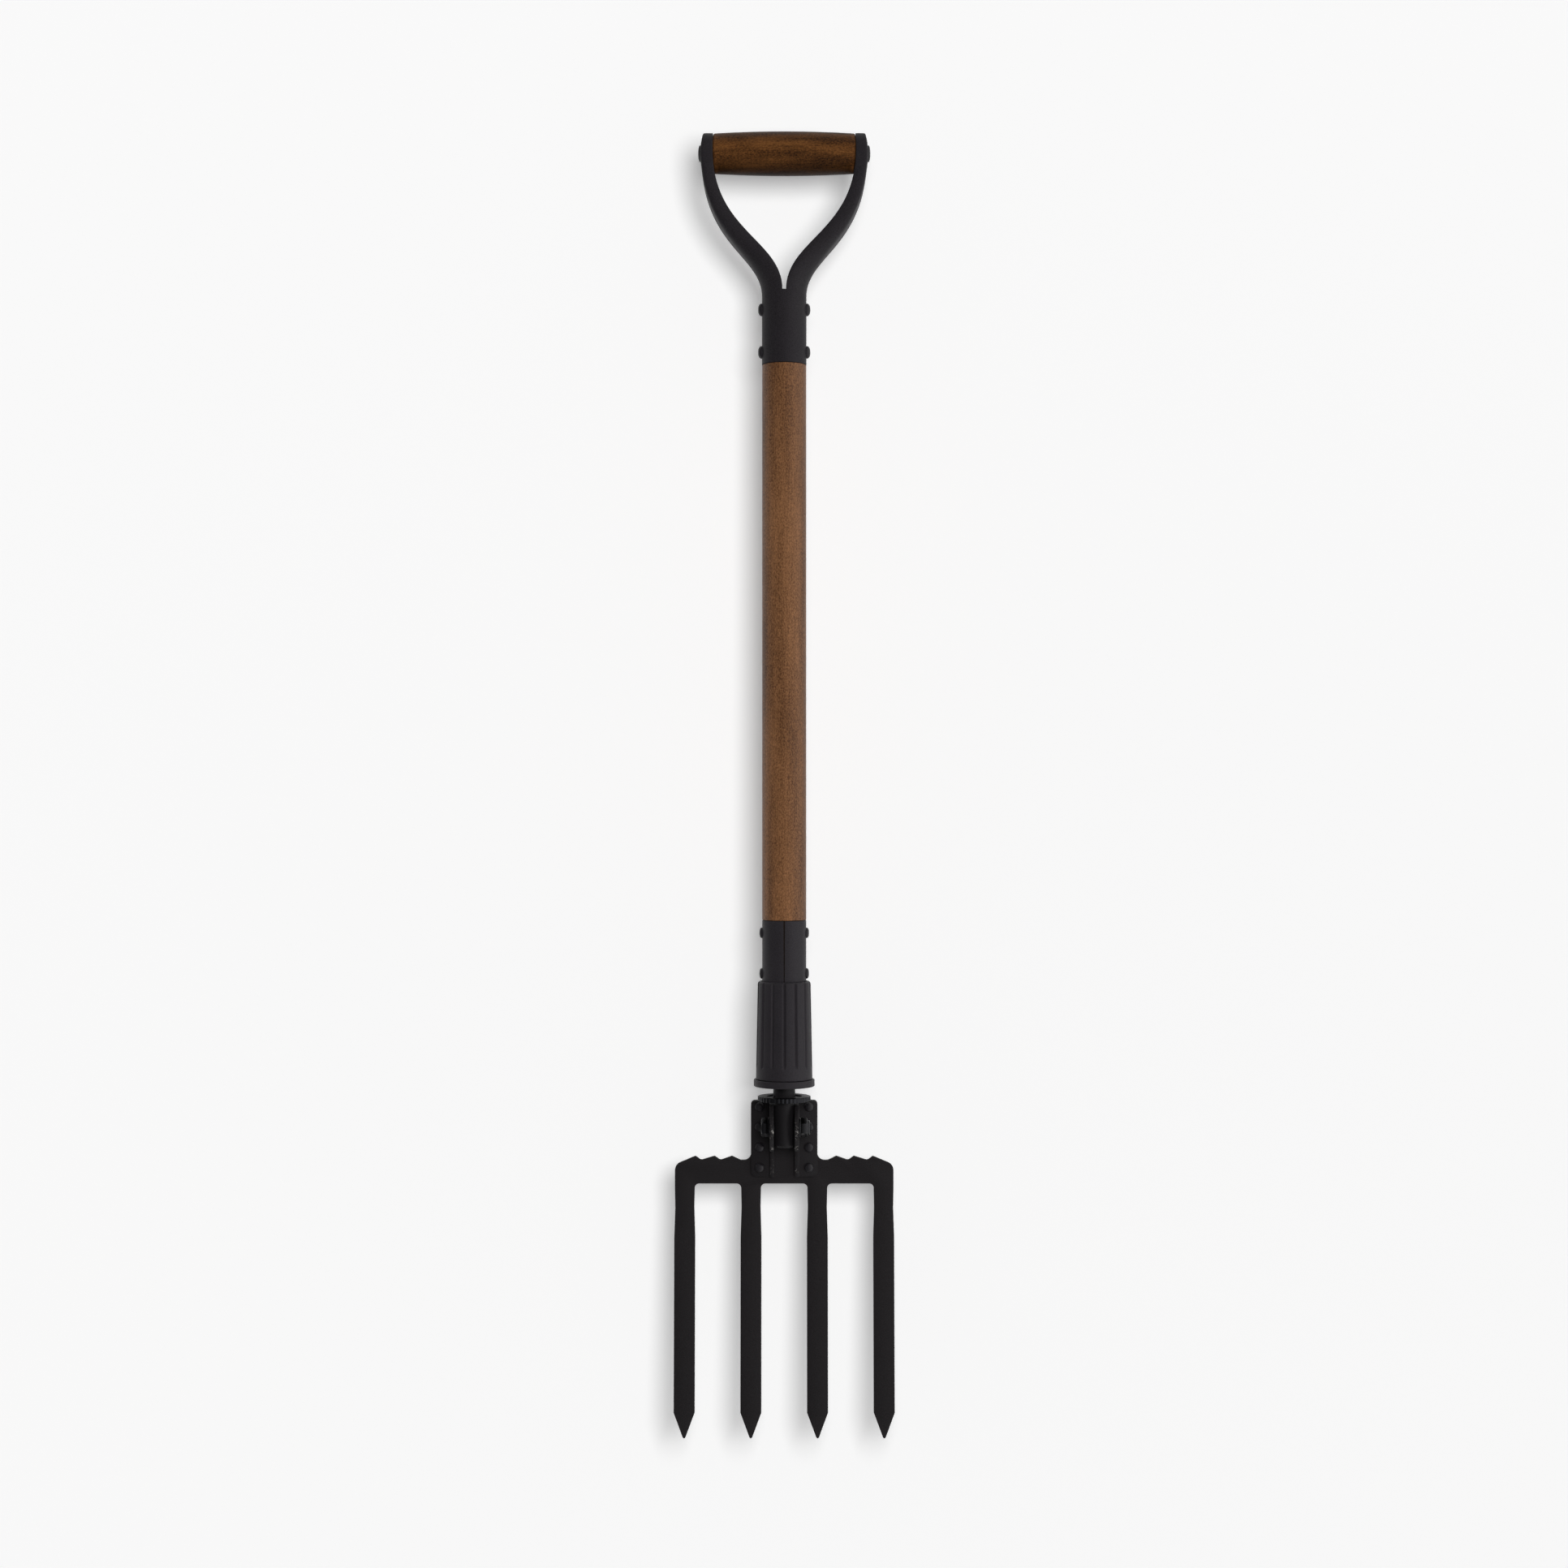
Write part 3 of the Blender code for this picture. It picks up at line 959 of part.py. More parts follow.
def make_plate_rivets(parent, plate, brackets):
    """Domed rivets through flange and plate, closed flush in a countersink at the back."""
    sink_top = PLATE_BACK + PLATE_RIVET_SINK_DEPTH
    seat = FLANGE_FRONT + GAP
    shank = PLATE_RIVET_RADIUS
    sink = PLATE_RIVET_SINK_RADIUS
    low = PLATE_BACK + PLATE_RIVET_RECESS
    for name, label, place in rivet_places():
        profile = ([(0.0, low), (sink, low), (shank, sink_top), (shank, seat),
                    (PLATE_RIVET_HEAD_RADIUS, seat)]
                   + dome(PLATE_RIVET_HEAD_RADIUS, seat + GAP, PLATE_RIVET_HEAD_HEIGHT - GAP))
        piece(name, turned(profile, RIVET_FACETS), "powder_coat", parent, place, ALONG_Z)
        under = PLATE_BACK - OVERRUN
        hole = shank + GAP
        countersunk = [(0.0, under), (sink + GAP, under), (sink + GAP, low),
                       (hole, sink_top), (hole, FLANGE_FRONT + OVERRUN),
                       (0.0, FLANGE_FRONT + OVERRUN)]
        shape = tool(f"{name}_hole", turned(countersunk, RIVET_FACETS), parent, place, ALONG_Z)
        apply_tool(plate, shape)
        apply_tool(brackets[label], shape)


def make_pivot(parent):
    """Hexagon bolt, two washers and a locking nut across the ears and the stem."""
    washer_near = EAR_OUTER_FACE + GAP
    washer_far = washer_near + WASHER_THICKNESS
    seat = washer_far + GAP
    nut_hex = seat + PIVOT_NUT_HEIGHT
    nut_end = nut_hex + PIVOT_NUT_COLLAR_HEIGHT
    bolt_end = nut_end + PIVOT_THREAD_END
    bolt = piece("pivot_bolt", hexagon_bar(PIVOT_HEAD_FLATS, -seat, -seat - PIVOT_HEAD_HEIGHT,
                                           HEX_CHAMFER), "dark_steel", parent, rotation=ALONG_X)
    shank = turned([(0.0, -seat - GAP), (PIVOT_RADIUS, -seat - GAP),
                    (PIVOT_RADIUS, bolt_end - HEX_CHAMFER),
                    (PIVOT_RADIUS - HEX_CHAMFER, bolt_end), (0.0, bolt_end)], SMALL_FACETS)
    apply_tool(bolt, tool("pivot_shank", shank, parent, rotation=ALONG_X), "UNION")
    hole = PIVOT_RADIUS + GAP
    for side, name in ((-1.0, "pivot_washer_head"), (1.0, "pivot_washer_nut")):
        profile = [(hole, side * washer_near), (WASHER_RADIUS, side * washer_near),
                   (WASHER_RADIUS, side * washer_far), (hole, side * washer_far)]
        piece(name, turned(profile, SMALL_FACETS, closed=True), "bright_steel", parent,
              rotation=ALONG_X)
    nut = piece("pivot_nut", hexagon_bar(PIVOT_HEAD_FLATS, seat, nut_hex, HEX_CHAMFER),
                "bright_steel", parent, rotation=ALONG_X)
    rim = PIVOT_NUT_COLLAR_RADIUS
    collar = turned([(0.0, nut_hex - GAP), (rim, nut_hex - GAP), (rim, nut_end - HEX_CHAMFER),
                     (rim - HEX_CHAMFER, nut_end), (0.0, nut_end)], SMALL_FACETS)
    apply_tool(nut, tool("nut_collar", collar, parent, rotation=ALONG_X), "UNION")
    bore = cylinder(hole, seat - OVERRUN, nut_end + OVERRUN, SMALL_FACETS)
    apply_tool(nut, tool("nut_bore", bore, parent, rotation=ALONG_X))


def build():
    """Build the whole tool in its own frame."""
    clear_scene()
    frame = empty("tool_frame", None, (0.0, -TOOL_MIDDLE, -TOOL_UNDERSIDE))
    head = empty("head_pivot", frame)

    shaft = make_shaft(frame)
    socket = make_lower_socket(frame)
    make_socket_rivets(frame, socket, shaft)
    make_yoke(frame, shaft)
    make_grip(frame)
    make_grip_bolt(frame)
    make_ferrule_and_stem(frame)
    make_foot_ring(frame)
    make_collar(frame)
    make_thrust_ring(frame)

    plate = make_fork_plate(head)
    brackets = {label: make_bracket(head, side, label)
                for side, label in ((-1.0, "left"), (1.0, "right"))}
    make_plate_rivets(head, plate, brackets)
    make_pivot(head)


build()
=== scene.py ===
# %% [markdown]
# # A folding digging fork, dressed for its portrait
# The tool lies on its back over a pale table, seen from straight above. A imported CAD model
# gives every piece its place and its size. This lesson builds a finer version of each visible
# piece on that model, gives it the finish of the real tool, and lights it as a product picture.
#
# The CAD model could have been shown as it is, but its round pieces have few facets and its
# edges are sharp. So each visible piece is made again here with more facets and with broken
# edges, and then stands for its CAD node. What lies hidden inside keeps its CAD shape.

import json
import math
from functools import partial

import bmesh
import bpy
from mathutils import Matrix, Vector

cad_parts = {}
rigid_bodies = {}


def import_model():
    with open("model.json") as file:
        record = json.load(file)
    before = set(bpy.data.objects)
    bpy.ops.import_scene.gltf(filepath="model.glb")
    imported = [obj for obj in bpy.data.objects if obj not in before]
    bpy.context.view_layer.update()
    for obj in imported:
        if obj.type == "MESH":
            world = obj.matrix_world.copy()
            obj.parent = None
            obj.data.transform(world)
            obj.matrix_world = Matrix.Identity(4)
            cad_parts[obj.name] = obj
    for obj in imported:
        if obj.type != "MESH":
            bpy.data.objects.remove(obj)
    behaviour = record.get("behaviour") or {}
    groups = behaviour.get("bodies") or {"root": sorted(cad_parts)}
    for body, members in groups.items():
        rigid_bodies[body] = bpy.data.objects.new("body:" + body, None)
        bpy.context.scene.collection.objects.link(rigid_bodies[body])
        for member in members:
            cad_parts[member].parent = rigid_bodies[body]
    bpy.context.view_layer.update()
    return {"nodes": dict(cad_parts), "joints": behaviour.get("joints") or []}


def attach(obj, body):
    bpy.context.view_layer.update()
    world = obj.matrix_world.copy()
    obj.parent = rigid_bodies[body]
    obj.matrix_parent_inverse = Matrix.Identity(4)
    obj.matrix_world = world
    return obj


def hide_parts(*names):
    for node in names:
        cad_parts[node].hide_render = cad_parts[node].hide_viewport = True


for leftover in list(bpy.data.objects):
    bpy.data.objects.remove(leftover)
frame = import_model()

MM = 0.001

# %% [markdown]
# ## Where things are
# Every length on the tool is measured from the bolt that the head folds on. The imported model
# says where that bolt is, so the pieces are made round the origin and moved there at the end.
# Along Y a place is called "up", from the tines to the grip, and Z points at the viewer.

# %% The pivot, and lengths that several pieces share
joints = {joint["name"]: joint for joint in frame["joints"]}
PIVOT = Vector(joints["head_fold"]["pos_m"])

GAP = 0.3 * MM
SHAFT_RADIUS = 17.1 * MM
SHAFT_START = 161.0 * MM
SHAFT_END = 591.7 * MM
SOCKET_WALL = 2.0 * MM
YOKE_RADIUS = 17.25 * MM
YOKE_WALL = 2.2 * MM
GRIP_PLACE = 755.8 * MM
FOOT_PLACE = 32.3 * MM
PLATE_FRONT = -28.0 * MM
FLANGE_FRONT = -24.6 * MM
EAR_RIVET_TOP = 12.8 * MM
EAR_RIVET_PITCH = 15.93 * MM
EAR_RIVET_SIDE = 19.4 * MM
BOLT_RADIUS = 4.0 * MM
BOLT_HOLE = 4.3 * MM
ROUND = 96
print("pivot at", [round(value / MM, 2) for value in PIVOT], "mm")

# %% [markdown]
# ## Small tools of the trade
# Most pieces of a hand tool are turned, rolled or cut from plate. Three mesh makers cover them:
# a lathe that spins a profile, a loft that joins sections, and a punch that draws an outline
# out. Another helper rounds the corners of a profile or an outline, because no real steel edge
# is quite sharp, and a thin rounded edge is what catches the light.

# %% Mesh makers
TINY = 0.002 * MM


def rounded(corners, steps=6, closed=True):
    """A list of (x, y, radius) corners as plain points, each corner turned into an arc."""
    points = []
    for index, (x, y, radius) in enumerate(corners):
        corner = Vector((x, y))
        if radius <= 0.0 or (not closed and index in (0, len(corners) - 1)):
            points.append(corner)
            continue
        before = (Vector(corners[index - 1][:2]) - corner).normalized()
        after = (Vector(corners[(index + 1) % len(corners)][:2]) - corner).normalized()
        half = before.angle(after) / 2.0
        run = radius / math.tan(half)
        centre = corner + (before + after).normalized() * (radius / math.sin(half))
        start = corner + before * run - centre
        turn = start.angle_signed(corner + after * run - centre)
        for step in range(steps + 1):
            points.append(centre + Matrix.Rotation(-turn * step / steps, 2) @ start)
    return [point for index, point in enumerate(points)
            if (point - points[index - 1]).length > TINY]


def round_point(radius, up, turn):
    """A point at a radius from the Y axis, turned from Z towards X."""
    return (radius * math.sin(turn), up, radius * math.cos(turn))


def lathe(profile, facets=ROUND, closed=False):
    """Spin (radius, up) points about Y. A closed profile gives a hollow piece.

    Two points on the axis, one after the other, part the profile into two pieces.
    """
    bm = bmesh.new()
    rings = []
    for radius, up in profile:
        turns = range(facets) if radius > 0.01 * MM else (0,)
        rings.append([bm.verts.new(round_point(radius, up, math.tau * turn / facets))
                      for turn in turns])
    pairs = list(zip(rings, rings[1:])) + ([(rings[-1], rings[0])] if closed else [])
    for low, high in pairs:
        if len(low) == len(high) == 1:
            continue
        for turn in range(facets):
            after = (turn + 1) % facets
            corners = (low[turn % len(low)], low[after % len(low)],
                       high[after % len(high)], high[turn % len(high)])
            bm.faces.new(dict.fromkeys(corners))
    return bm


def bar(radius, low, high, facets=ROUND):
    """A plain round bar along Y."""
    return lathe([(0.0, low), (radius, low), (radius, high), (0.0, high)], facets)


def loft(rings):
    """Join closed rings of equal count and cap both ends."""
    bm = bmesh.new()
    rows = [[bm.verts.new(point) for point in ring] for ring in rings]
    for low, high in zip(rows, rows[1:]):
        for index, vertex in enumerate(low):
            bm.faces.new((low[index - 1], vertex, high[index], high[index - 1]))
    bm.faces.new(rows[0])
    bm.faces.new(rows[-1])
    return bm


def punch(outline, direction):
    """Draw an outline of 3-D points out along a direction."""
    bm = bmesh.new()
    face = bm.faces.new([bm.verts.new(point) for point in outline])
    drawn = bmesh.ops.extrude_face_region(bm, geom=[face])["geom"]
    moved = [item for item in drawn if isinstance(item, bmesh.types.BMVert)]
    bmesh.ops.translate(bm, verts=moved, vec=direction)
    return bm


def across(bm, up=0.0):
    """Lay a piece made along Y across the tool, at a place up the centre line."""
    turn = Matrix.Translation((0.0, up, 0.0)) @ Matrix.Rotation(-math.pi / 2.0, 4, "Z")
    bmesh.ops.transform(bm, matrix=turn, verts=bm.verts)
    return bm


def upright(bm):
    """Stand a piece made along Y up along Z."""
    bmesh.ops.rotate(bm, verts=bm.verts, matrix=Matrix.Rotation(math.pi / 2.0, 3, "X"))
    return bm


print("mesh makers ready: rounded, lathe, bar, loft, punch")

# %% [markdown]
# ## From a mesh to a finished piece
# A piece has to lie with its place in its mesh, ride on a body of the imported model, and stand
# for one or more CAD nodes. One helper does all that, so that every later cell can stay short.
# Cuts and joins are Boolean modifiers whose result is kept as a plain mesh.

# %% Piece helpers
def as_object(name, bm):
    """Put a shape into the scene."""
    bmesh.ops.remove_doubles(bm, verts=bm.verts, dist=TINY)
    bmesh.ops.recalc_face_normals(bm, faces=bm.faces)
    mesh = bpy.data.meshes.new(name)
    bm.to_mesh(mesh)
    bm.free()
    item = bpy.data.objects.new(name, mesh)
    bpy.context.scene.collection.objects.link(item)
    return item


def bake(item):
    """Keep what the modifiers give as the object's own mesh."""
    graph = bpy.context.evaluated_depsgraph_get()
    mesh = bpy.data.meshes.new_from_object(item.evaluated_get(graph), depsgraph=graph)
    item.modifiers.clear()
    item.data = mesh


def shape_with(item, bm, operation):
    """Cut, join or trim an object with another shape."""
    other = as_object("shape", bm)
    modifier = item.modifiers.new("shape", "BOOLEAN")
    modifier.operation = operation
    modifier.solver = "EXACT"
    modifier.object = other
    bake(item)
    bpy.data.objects.remove(other)


def break_edges(item, width, segments=2, angle=40.0):
    """Round the sharp edges of a piece."""
    modifier = item.modifiers.new("edges", "BEVEL")
    modifier.width = width
    modifier.segments = segments
    modifier.limit_method = "ANGLE"
    modifier.angle_limit = math.radians(angle)
    bake(item)


def paint(item, name, rule):
    """Store a number on each point of a piece, by a rule of its place and normal."""
    layer = item.data.attributes.new(name, "FLOAT", "POINT")
    layer.data.foreach_set("value", [rule(vertex.co, vertex.normal)
                                     for vertex in item.data.vertices])


def finished(item, body, material, nodes, crisp=35.0):
    """Put a piece in its place on the tool and let it stand for its CAD nodes."""
    item.data.transform(Matrix.Translation(PIVOT))
    item.data.shade_smooth()
    item.data.set_sharp_from_angle(angle=math.radians(crisp))
    item.data.materials.clear()
    item.data.materials.append(material)
    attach(item, body)
    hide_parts(*nodes)
    print(f"{item.name}: {len(item.data.polygons)} faces on body {body}, for {', '.join(nodes)}")


print("piece helpers ready: shape_with, break_edges, paint, finished")

# %% [markdown]
# ## Shader groups
# Three finishes make up the tool: a black powder coat, stained wood and bare steel. What
# several materials share, or could share, is a node group built once: the coat, its rubbed
# edges and the wood grain. A group only puts out colours, roughness, masks and heights. The
# shader itself, and every value that is the same all over a surface, stays in the material.

# %% Node helpers
def feed(tree, node, links):
    """Give inputs of a node their values, or link them to sockets."""
    for key, value in links.items():
        if isinstance(value, bpy.types.NodeSocket):
            tree.links.new(value, node.inputs[key])
        else:
            node.inputs[key].default_value = value


def add(tree, kind, links=None, **settings):
    """Add a node with its settings and its inputs, and return its outputs."""
    node = tree.nodes.new(kind)
    for key, value in settings.items():
        setattr(node, key, value)
    feed(tree, node, links or {})
    return node.outputs


def group(name, kind, inputs, outputs):
    """An empty node group: its tree, its input sockets and its output node.

    Each input is named with its default, or with its kind when it has no default.
    """
    tree = bpy.data.node_groups.new(name, kind)
    kinds = {tuple: "Color", float: "Float", int: "Int"}
    for label, value in inputs.items():
        socket = value if isinstance(value, str) else kinds[type(value)]
        item = tree.interface.new_socket(label, in_out="INPUT", socket_type=f"NodeSocket{socket}")
        if socket != value:
            item.default_value = value
    for label, socket in outputs.items():
        tree.interface.new_socket(label, in_out="OUTPUT", socket_type=f"NodeSocket{socket}")
    print(f"{name}: {', '.join(inputs)} give {', '.join(outputs)}")
    return tree, tree.nodes.new("NodeGroupInput").outputs, tree.nodes.new("NodeGroupOutput")


def calculate(tree, operation, *values):
    """One maths node. Values may be numbers or sockets."""
    return add(tree, "ShaderNodeMath", dict(enumerate(values)), operation=operation)[0]


def noise(tree, vector, scale, detail, roughness=0.5):
    """A noise between 0 and 1. A scale of 1000 makes its spots about a millimetre wide."""
    return add(tree, "ShaderNodeTexNoise", {
        "Vector": vector, "Scale": scale, "Detail": detail, "Roughness": roughness})["Fac"]


def ramp(tree, value, from_min, from_max, to_min=0.0, to_max=1.0):
    """Stretch one range of numbers over another and hold it at both ends."""
    return add(tree, "ShaderNodeMapRange", {
        "Value": value, "From Min": from_min, "From Max": from_max,
        "To Min": to_min, "To Max": to_max})[0]


def scaled(tree, vector, factor):
    """A colour times a number."""
    return add(tree, "ShaderNodeVectorMath", {0: vector, "Scale": factor}, operation="SCALE")[0]


def blend(tree, mask, first, second):
    """The first colour where a mask is 0, and the second where it is 1."""
    return add(tree, "ShaderNodeMix", {"Factor": mask, "A": first, "B": second},
               data_type="RGBA")["Result"]


print("node helpers ready: add, group, calculate, noise, ramp, scaled, blend")

# %% [markdown]
# ### Powder coat
# The powder melts in the oven into a skin with a fine pebbled surface. A small noise gives the
# pebbles' height and the speckle of their colour. A large, faint noise stands for the oven's
# uneven gloss.

# %% Group: pebbled coat
coat_tree, coat_in, coat_out = group("pebbled coat", "ShaderNodeTree", {
    "Vector": "Vector", "Color": (0.02, 0.02, 0.02, 1.0), "Pebble Size": 0.6 * MM,
    "Roughness": 0.5}, {"Color": "Color", "Roughness": "Float", "Height": "Float"})
pebble_scale = calculate(coat_tree, "DIVIDE", 1.0, coat_in["Pebble Size"])
pebbles = noise(coat_tree, coat_in["Vector"], pebble_scale, 3.0, 0.6)
speckle = ramp(coat_tree, pebbles, 0.3, 0.7, 0.6, 1.42)
gloss = ramp(coat_tree, noise(coat_tree, coat_in["Vector"], 45.0, 2.0), 0.3, 0.7, 0.94, 1.06)
shade = calculate(coat_tree, "MULTIPLY", speckle, gloss)
feed(coat_tree, coat_out, {
    "Color": scaled(coat_tree, coat_in["Color"], shade),
    "Roughness": calculate(coat_tree, "MULTIPLY", coat_in["Roughness"], gloss),
    "Height": pebbles})

# %% [markdown]
# ### Rubbed edges
# Where steel slides on steel the coat is rubbed through, first along the edges and in patches.
# A mask could come from the render engine's own edge finding, but the exported model would lose
# it. Here each point carries a number called rub, painted when the piece is made, and a noise
# breaks it into patches.

# %% Group: rubbed edges
rub_tree, rub_in, rub_out = group("rubbed edges", "ShaderNodeTree", {
    "Vector": "Vector", "Rub": 0.0, "Patch Size": 3.0 * MM}, {"Mask": "Float"})
patch_scale = calculate(rub_tree, "DIVIDE", 1.0, rub_in["Patch Size"])
patches = noise(rub_tree, rub_in["Vector"], patch_scale, 4.0, 0.65)
level = calculate(rub_tree, "SUBTRACT", 1.0, rub_in["Rub"])
soft_edge = calculate(rub_tree, "ADD", level, 0.12)
feed(rub_tree, rub_out, {"Mask": ramp(rub_tree, patches, level, soft_edge)})

# %% [markdown]
# ### Wood grain
# A stained hardwood shows four things at once: long streaks, short flecks, fine fibres, and open
# pores as small dark dashes. All of them run along the piece, so each is a noise that reads
# coordinates squeezed along Y. The more they are squeezed, the longer the marks get. The first
# three are mixed by their shares into one tone, and the tone picks a colour between the stain's
# dark and its light. Middle and softness say where it changes and how softly.

# %% Group: wood grain
wood_tree, wood_in, wood_out = group("wood grain", "ShaderNodeTree", {
    "Vector": "Vector", "Light": (0.2, 0.1, 0.05, 1.0), "Dark": (0.08, 0.04, 0.02, 1.0),
    "Streak Width": 4.0 * MM, "Streak Length": 60.0 * MM, "Streak Share": 0.35,
    "Fleck Share": 0.35, "Middle": 0.5, "Softness": 0.1},
    {"Color": "Color", "Roughness": "Float", "Height": "Float"})
wood = partial(calculate, wood_tree)


def grain_noise(squeeze, *settings):
    """A noise drawn out along the grain."""
    along = add(wood_tree, "ShaderNodeVectorMath", {0: wood_in["Vector"], 1: squeeze},
                operation="MULTIPLY")[0]
    return noise(wood_tree, along, *settings)


crossways = wood("DIVIDE", 0.7, wood_in["Streak Width"])
lengthways = wood("DIVIDE", 0.7, wood_in["Streak Length"])
streak_scale = add(wood_tree, "ShaderNodeCombineXYZ",
                   {"X": crossways, "Y": lengthways, "Z": crossways})[0]
streaks = grain_noise(streak_scale, 1.0, 3.0, 0.55)
flecks = grain_noise((1.0, 0.55, 1.0), 1250.0, 1.0)
fibres = grain_noise((1.0, 0.03, 1.0), 1500.0, 4.0, 0.7)
pores = grain_noise((1.0, 0.2, 1.0), 1700.0, 1.0)
fibre_share = wood("SUBTRACT", wood("SUBTRACT", 1.0, wood_in["Streak Share"]),
                   wood_in["Fleck Share"])
tone = wood("ADD", wood("ADD", wood("MULTIPLY", streaks, wood_in["Streak Share"]),
                        wood("MULTIPLY", flecks, wood_in["Fleck Share"])),
            wood("MULTIPLY", fibres, fibre_share))
lightness = ramp(wood_tree, tone, wood("SUBTRACT", wood_in["Middle"], wood_in["Softness"]),
                 wood("ADD", wood_in["Middle"], wood_in["Softness"]))
stain = blend(wood_tree, lightness, wood_in["Dark"], wood_in["Light"])
open_pore = ramp(wood_tree, pores, 0.56, 0.66, 1.0, 0.75)
feed(wood_tree, wood_out, {
    "Color": scaled(wood_tree, stain, open_pore),
    "Roughness": ramp(wood_tree, fibres, 0.3, 0.7, 0.58, 0.46),
    "Height": wood("ADD", wood("MULTIPLY", fibres, 0.4), open_pore)})

# %% [markdown]
# ## Materials
# Each material reads the object's own coordinates, in metres, so a pebble or a pore has its true
# size on every piece. The coated pieces differ a little: the yoke has the coarsest coat, the
# turned parts have a finer one, and the ears of the head are rubbed to bare steel in places.

# %% Materials of the coated pieces
def new_material(name, **sockets):
    """A material with its tree, its Principled shader and its object coordinates."""
    material = bpy.data.materials.new(name)
    material.use_nodes = True
    tree = material.node_tree
    shader = tree.nodes["Principled BSDF"]
    feed(tree, shader, {key.replace("_", " "): value for key, value in sockets.items()})
    return material, tree, shader, add(tree, "ShaderNodeTexCoord")["Object"]


def bumped(tree, shader, height, strength, distance):
    """Feed a height to the shader's normal."""
    normal = add(tree, "ShaderNodeBump", {"Strength": strength, "Distance": distance,
                                          "Height": height})["Normal"]
    feed(tree, shader, {"Normal": normal})


def coated(name, colour, roughness, pebble, bump, shine=0.14, rubbed=False):
    """Powder-coated steel, rubbed bare in patches where its points say so."""
    material, tree, shader, where = new_material(name, Specular_IOR_Level=shine)
    coat = add(tree, "ShaderNodeGroup", {
        "Vector": where, "Color": (*colour, 1.0), "Pebble Size": pebble,
        "Roughness": roughness}, node_tree=coat_tree)
    surface = {"Base Color": coat["Color"], "Roughness": coat["Roughness"]}
    if rubbed:
        rub = add(tree, "ShaderNodeAttribute", attribute_name="rub")["Fac"]
        mask = add(tree, "ShaderNodeGroup", {"Vector": where, "Rub": rub, "Patch Size": 1.5 * MM},
                   node_tree=rub_tree)["Mask"]
        worn = add(tree, "ShaderNodeMix", {"Factor": mask, "A": coat["Roughness"], "B": 0.34})
        surface = {"Base Color": blend(tree, mask, coat["Color"], (0.22, 0.21, 0.20, 1.0)),
                   "Roughness": worn["Result"], "Metallic": mask}
    feed(tree, shader, surface)
    bumped(tree, shader, coat["Height"], bump, 0.12 * MM)
    return material


coat_plate = coated("coat_on_plate", (0.0128, 0.0114, 0.0122), 0.6, 0.65 * MM, 0.5)
coat_yoke = coated("coat_on_yoke", (0.0165, 0.0146, 0.0168), 0.56, 0.8 * MM, 0.6, shine=0.12)
coat_stem = coated("coat_on_stem", (0.0086, 0.0078, 0.0086), 0.5, 0.5 * MM, 0.3)
coat_turned = coated("coat_on_turned_steel", (0.0215, 0.0192, 0.0222), 0.5, 0.5 * MM, 0.45)
coat_rivets = coated("coat_on_rivets", (0.0115, 0.0103, 0.0122), 0.38, 0.5 * MM, 0.3, shine=0.22)
coat_ears = coated("coat_on_ears", (0.0105, 0.0094, 0.0102), 0.55, 0.6 * MM, 0.5, rubbed=True)
print("coated materials:", [item.name for item in bpy.data.materials if "coat" in item.name])

# %% Materials of the wooden pieces
def wooden(name, light, dark, turn, painted_shade_tone, gloss, **figure):
    """Stained wood with its grain along Y, or along X after a quarter turn, and painted shade."""
    material, tree, shader, where = new_material(name, Specular_IOR_Level=gloss)
    laid = add(tree, "ShaderNodeMapping", {"Vector": where, "Rotation": (0.0, 0.0, turn)})[0]
    grain = add(tree, "ShaderNodeGroup", {
        "Vector": laid, "Light": (*light, 1.0), "Dark": (*dark, 1.0),
        **{key.replace("_", " "): value for key, value in figure.items()}}, node_tree=wood_tree)
    # Painted shade: the number on each point darkens the stain, fully at 0 and not at all at 1.
    painted_light = add(tree, "ShaderNodeAttribute", attribute_name="painted_light")["Fac"]
    depth = ramp(tree, painted_light, 0.0, 1.0, painted_shade_tone, 1.0)
    feed(tree, shader, {"Base Color": scaled(tree, grain["Color"], depth),
                        "Roughness": grain["Roughness"]})
    bumped(tree, shader, grain["Height"], 0.35, 0.08 * MM)
    return material


wood_shaft = wooden(
    "stained_shaft_wood", (0.262, 0.121, 0.052), (0.060, 0.023, 0.0075), 0.0, 0.05, 0.3,
    Streak_Width=7.0 * MM, Streak_Length=90.0 * MM, Streak_Share=0.34, Fleck_Share=0.44,
    Middle=0.505, Softness=0.13)
wood_grip = wooden(
    "stained_grip_wood", (0.172, 0.069, 0.0205), (0.021, 0.0076, 0.0025), math.pi / 2.0, 0.32, 0.1,
    Streak_Width=5.0 * MM, Streak_Length=34.0 * MM, Streak_Share=0.44, Fleck_Share=0.38,
    Middle=0.5, Softness=0.125)
print("wooden materials:", wood_shaft.name, wood_grip.name)

# %% Materials of the bare steel pieces
def bare(name, colour, roughness):
    """Plated or blackened steel with fine tool marks."""
    material, tree, shader, where = new_material(name, Metallic=1.0)
    marks = noise(tree, where, 1800.0, 3.0)
    tint = ramp(tree, marks, 0.3, 0.7, 0.85, 1.12)
    feed(tree, shader, {
        "Base Color": scaled(tree, colour, tint),
        "Roughness": ramp(tree, marks, 0.3, 0.7, roughness - 0.08, roughness + 0.08)})
    bumped(tree, shader, marks, 0.2, 0.05 * MM)
    return material


steel_plated = bare("plated_steel", (0.50, 0.50, 0.52), 0.3)
steel_black = bare("blackened_steel", (0.018, 0.018, 0.020), 0.45)
steel_nut = bare("dulled_steel", (0.034, 0.034, 0.036), 0.32)
bronze = bare("bearing_bronze", (0.50, 0.30, 0.12), 0.35)
hidden_finishes = {"threaded_ferrule": steel_plated, "stem_cross_pin": steel_plated,
                   "collar_snap_ring": steel_plated, "pivot_bush": bronze}
for name, material in hidden_finishes.items():
    frame["nodes"][name].material_slots[0].material = material
print("bare steel on hidden pieces:", ", ".join(hidden_finishes))
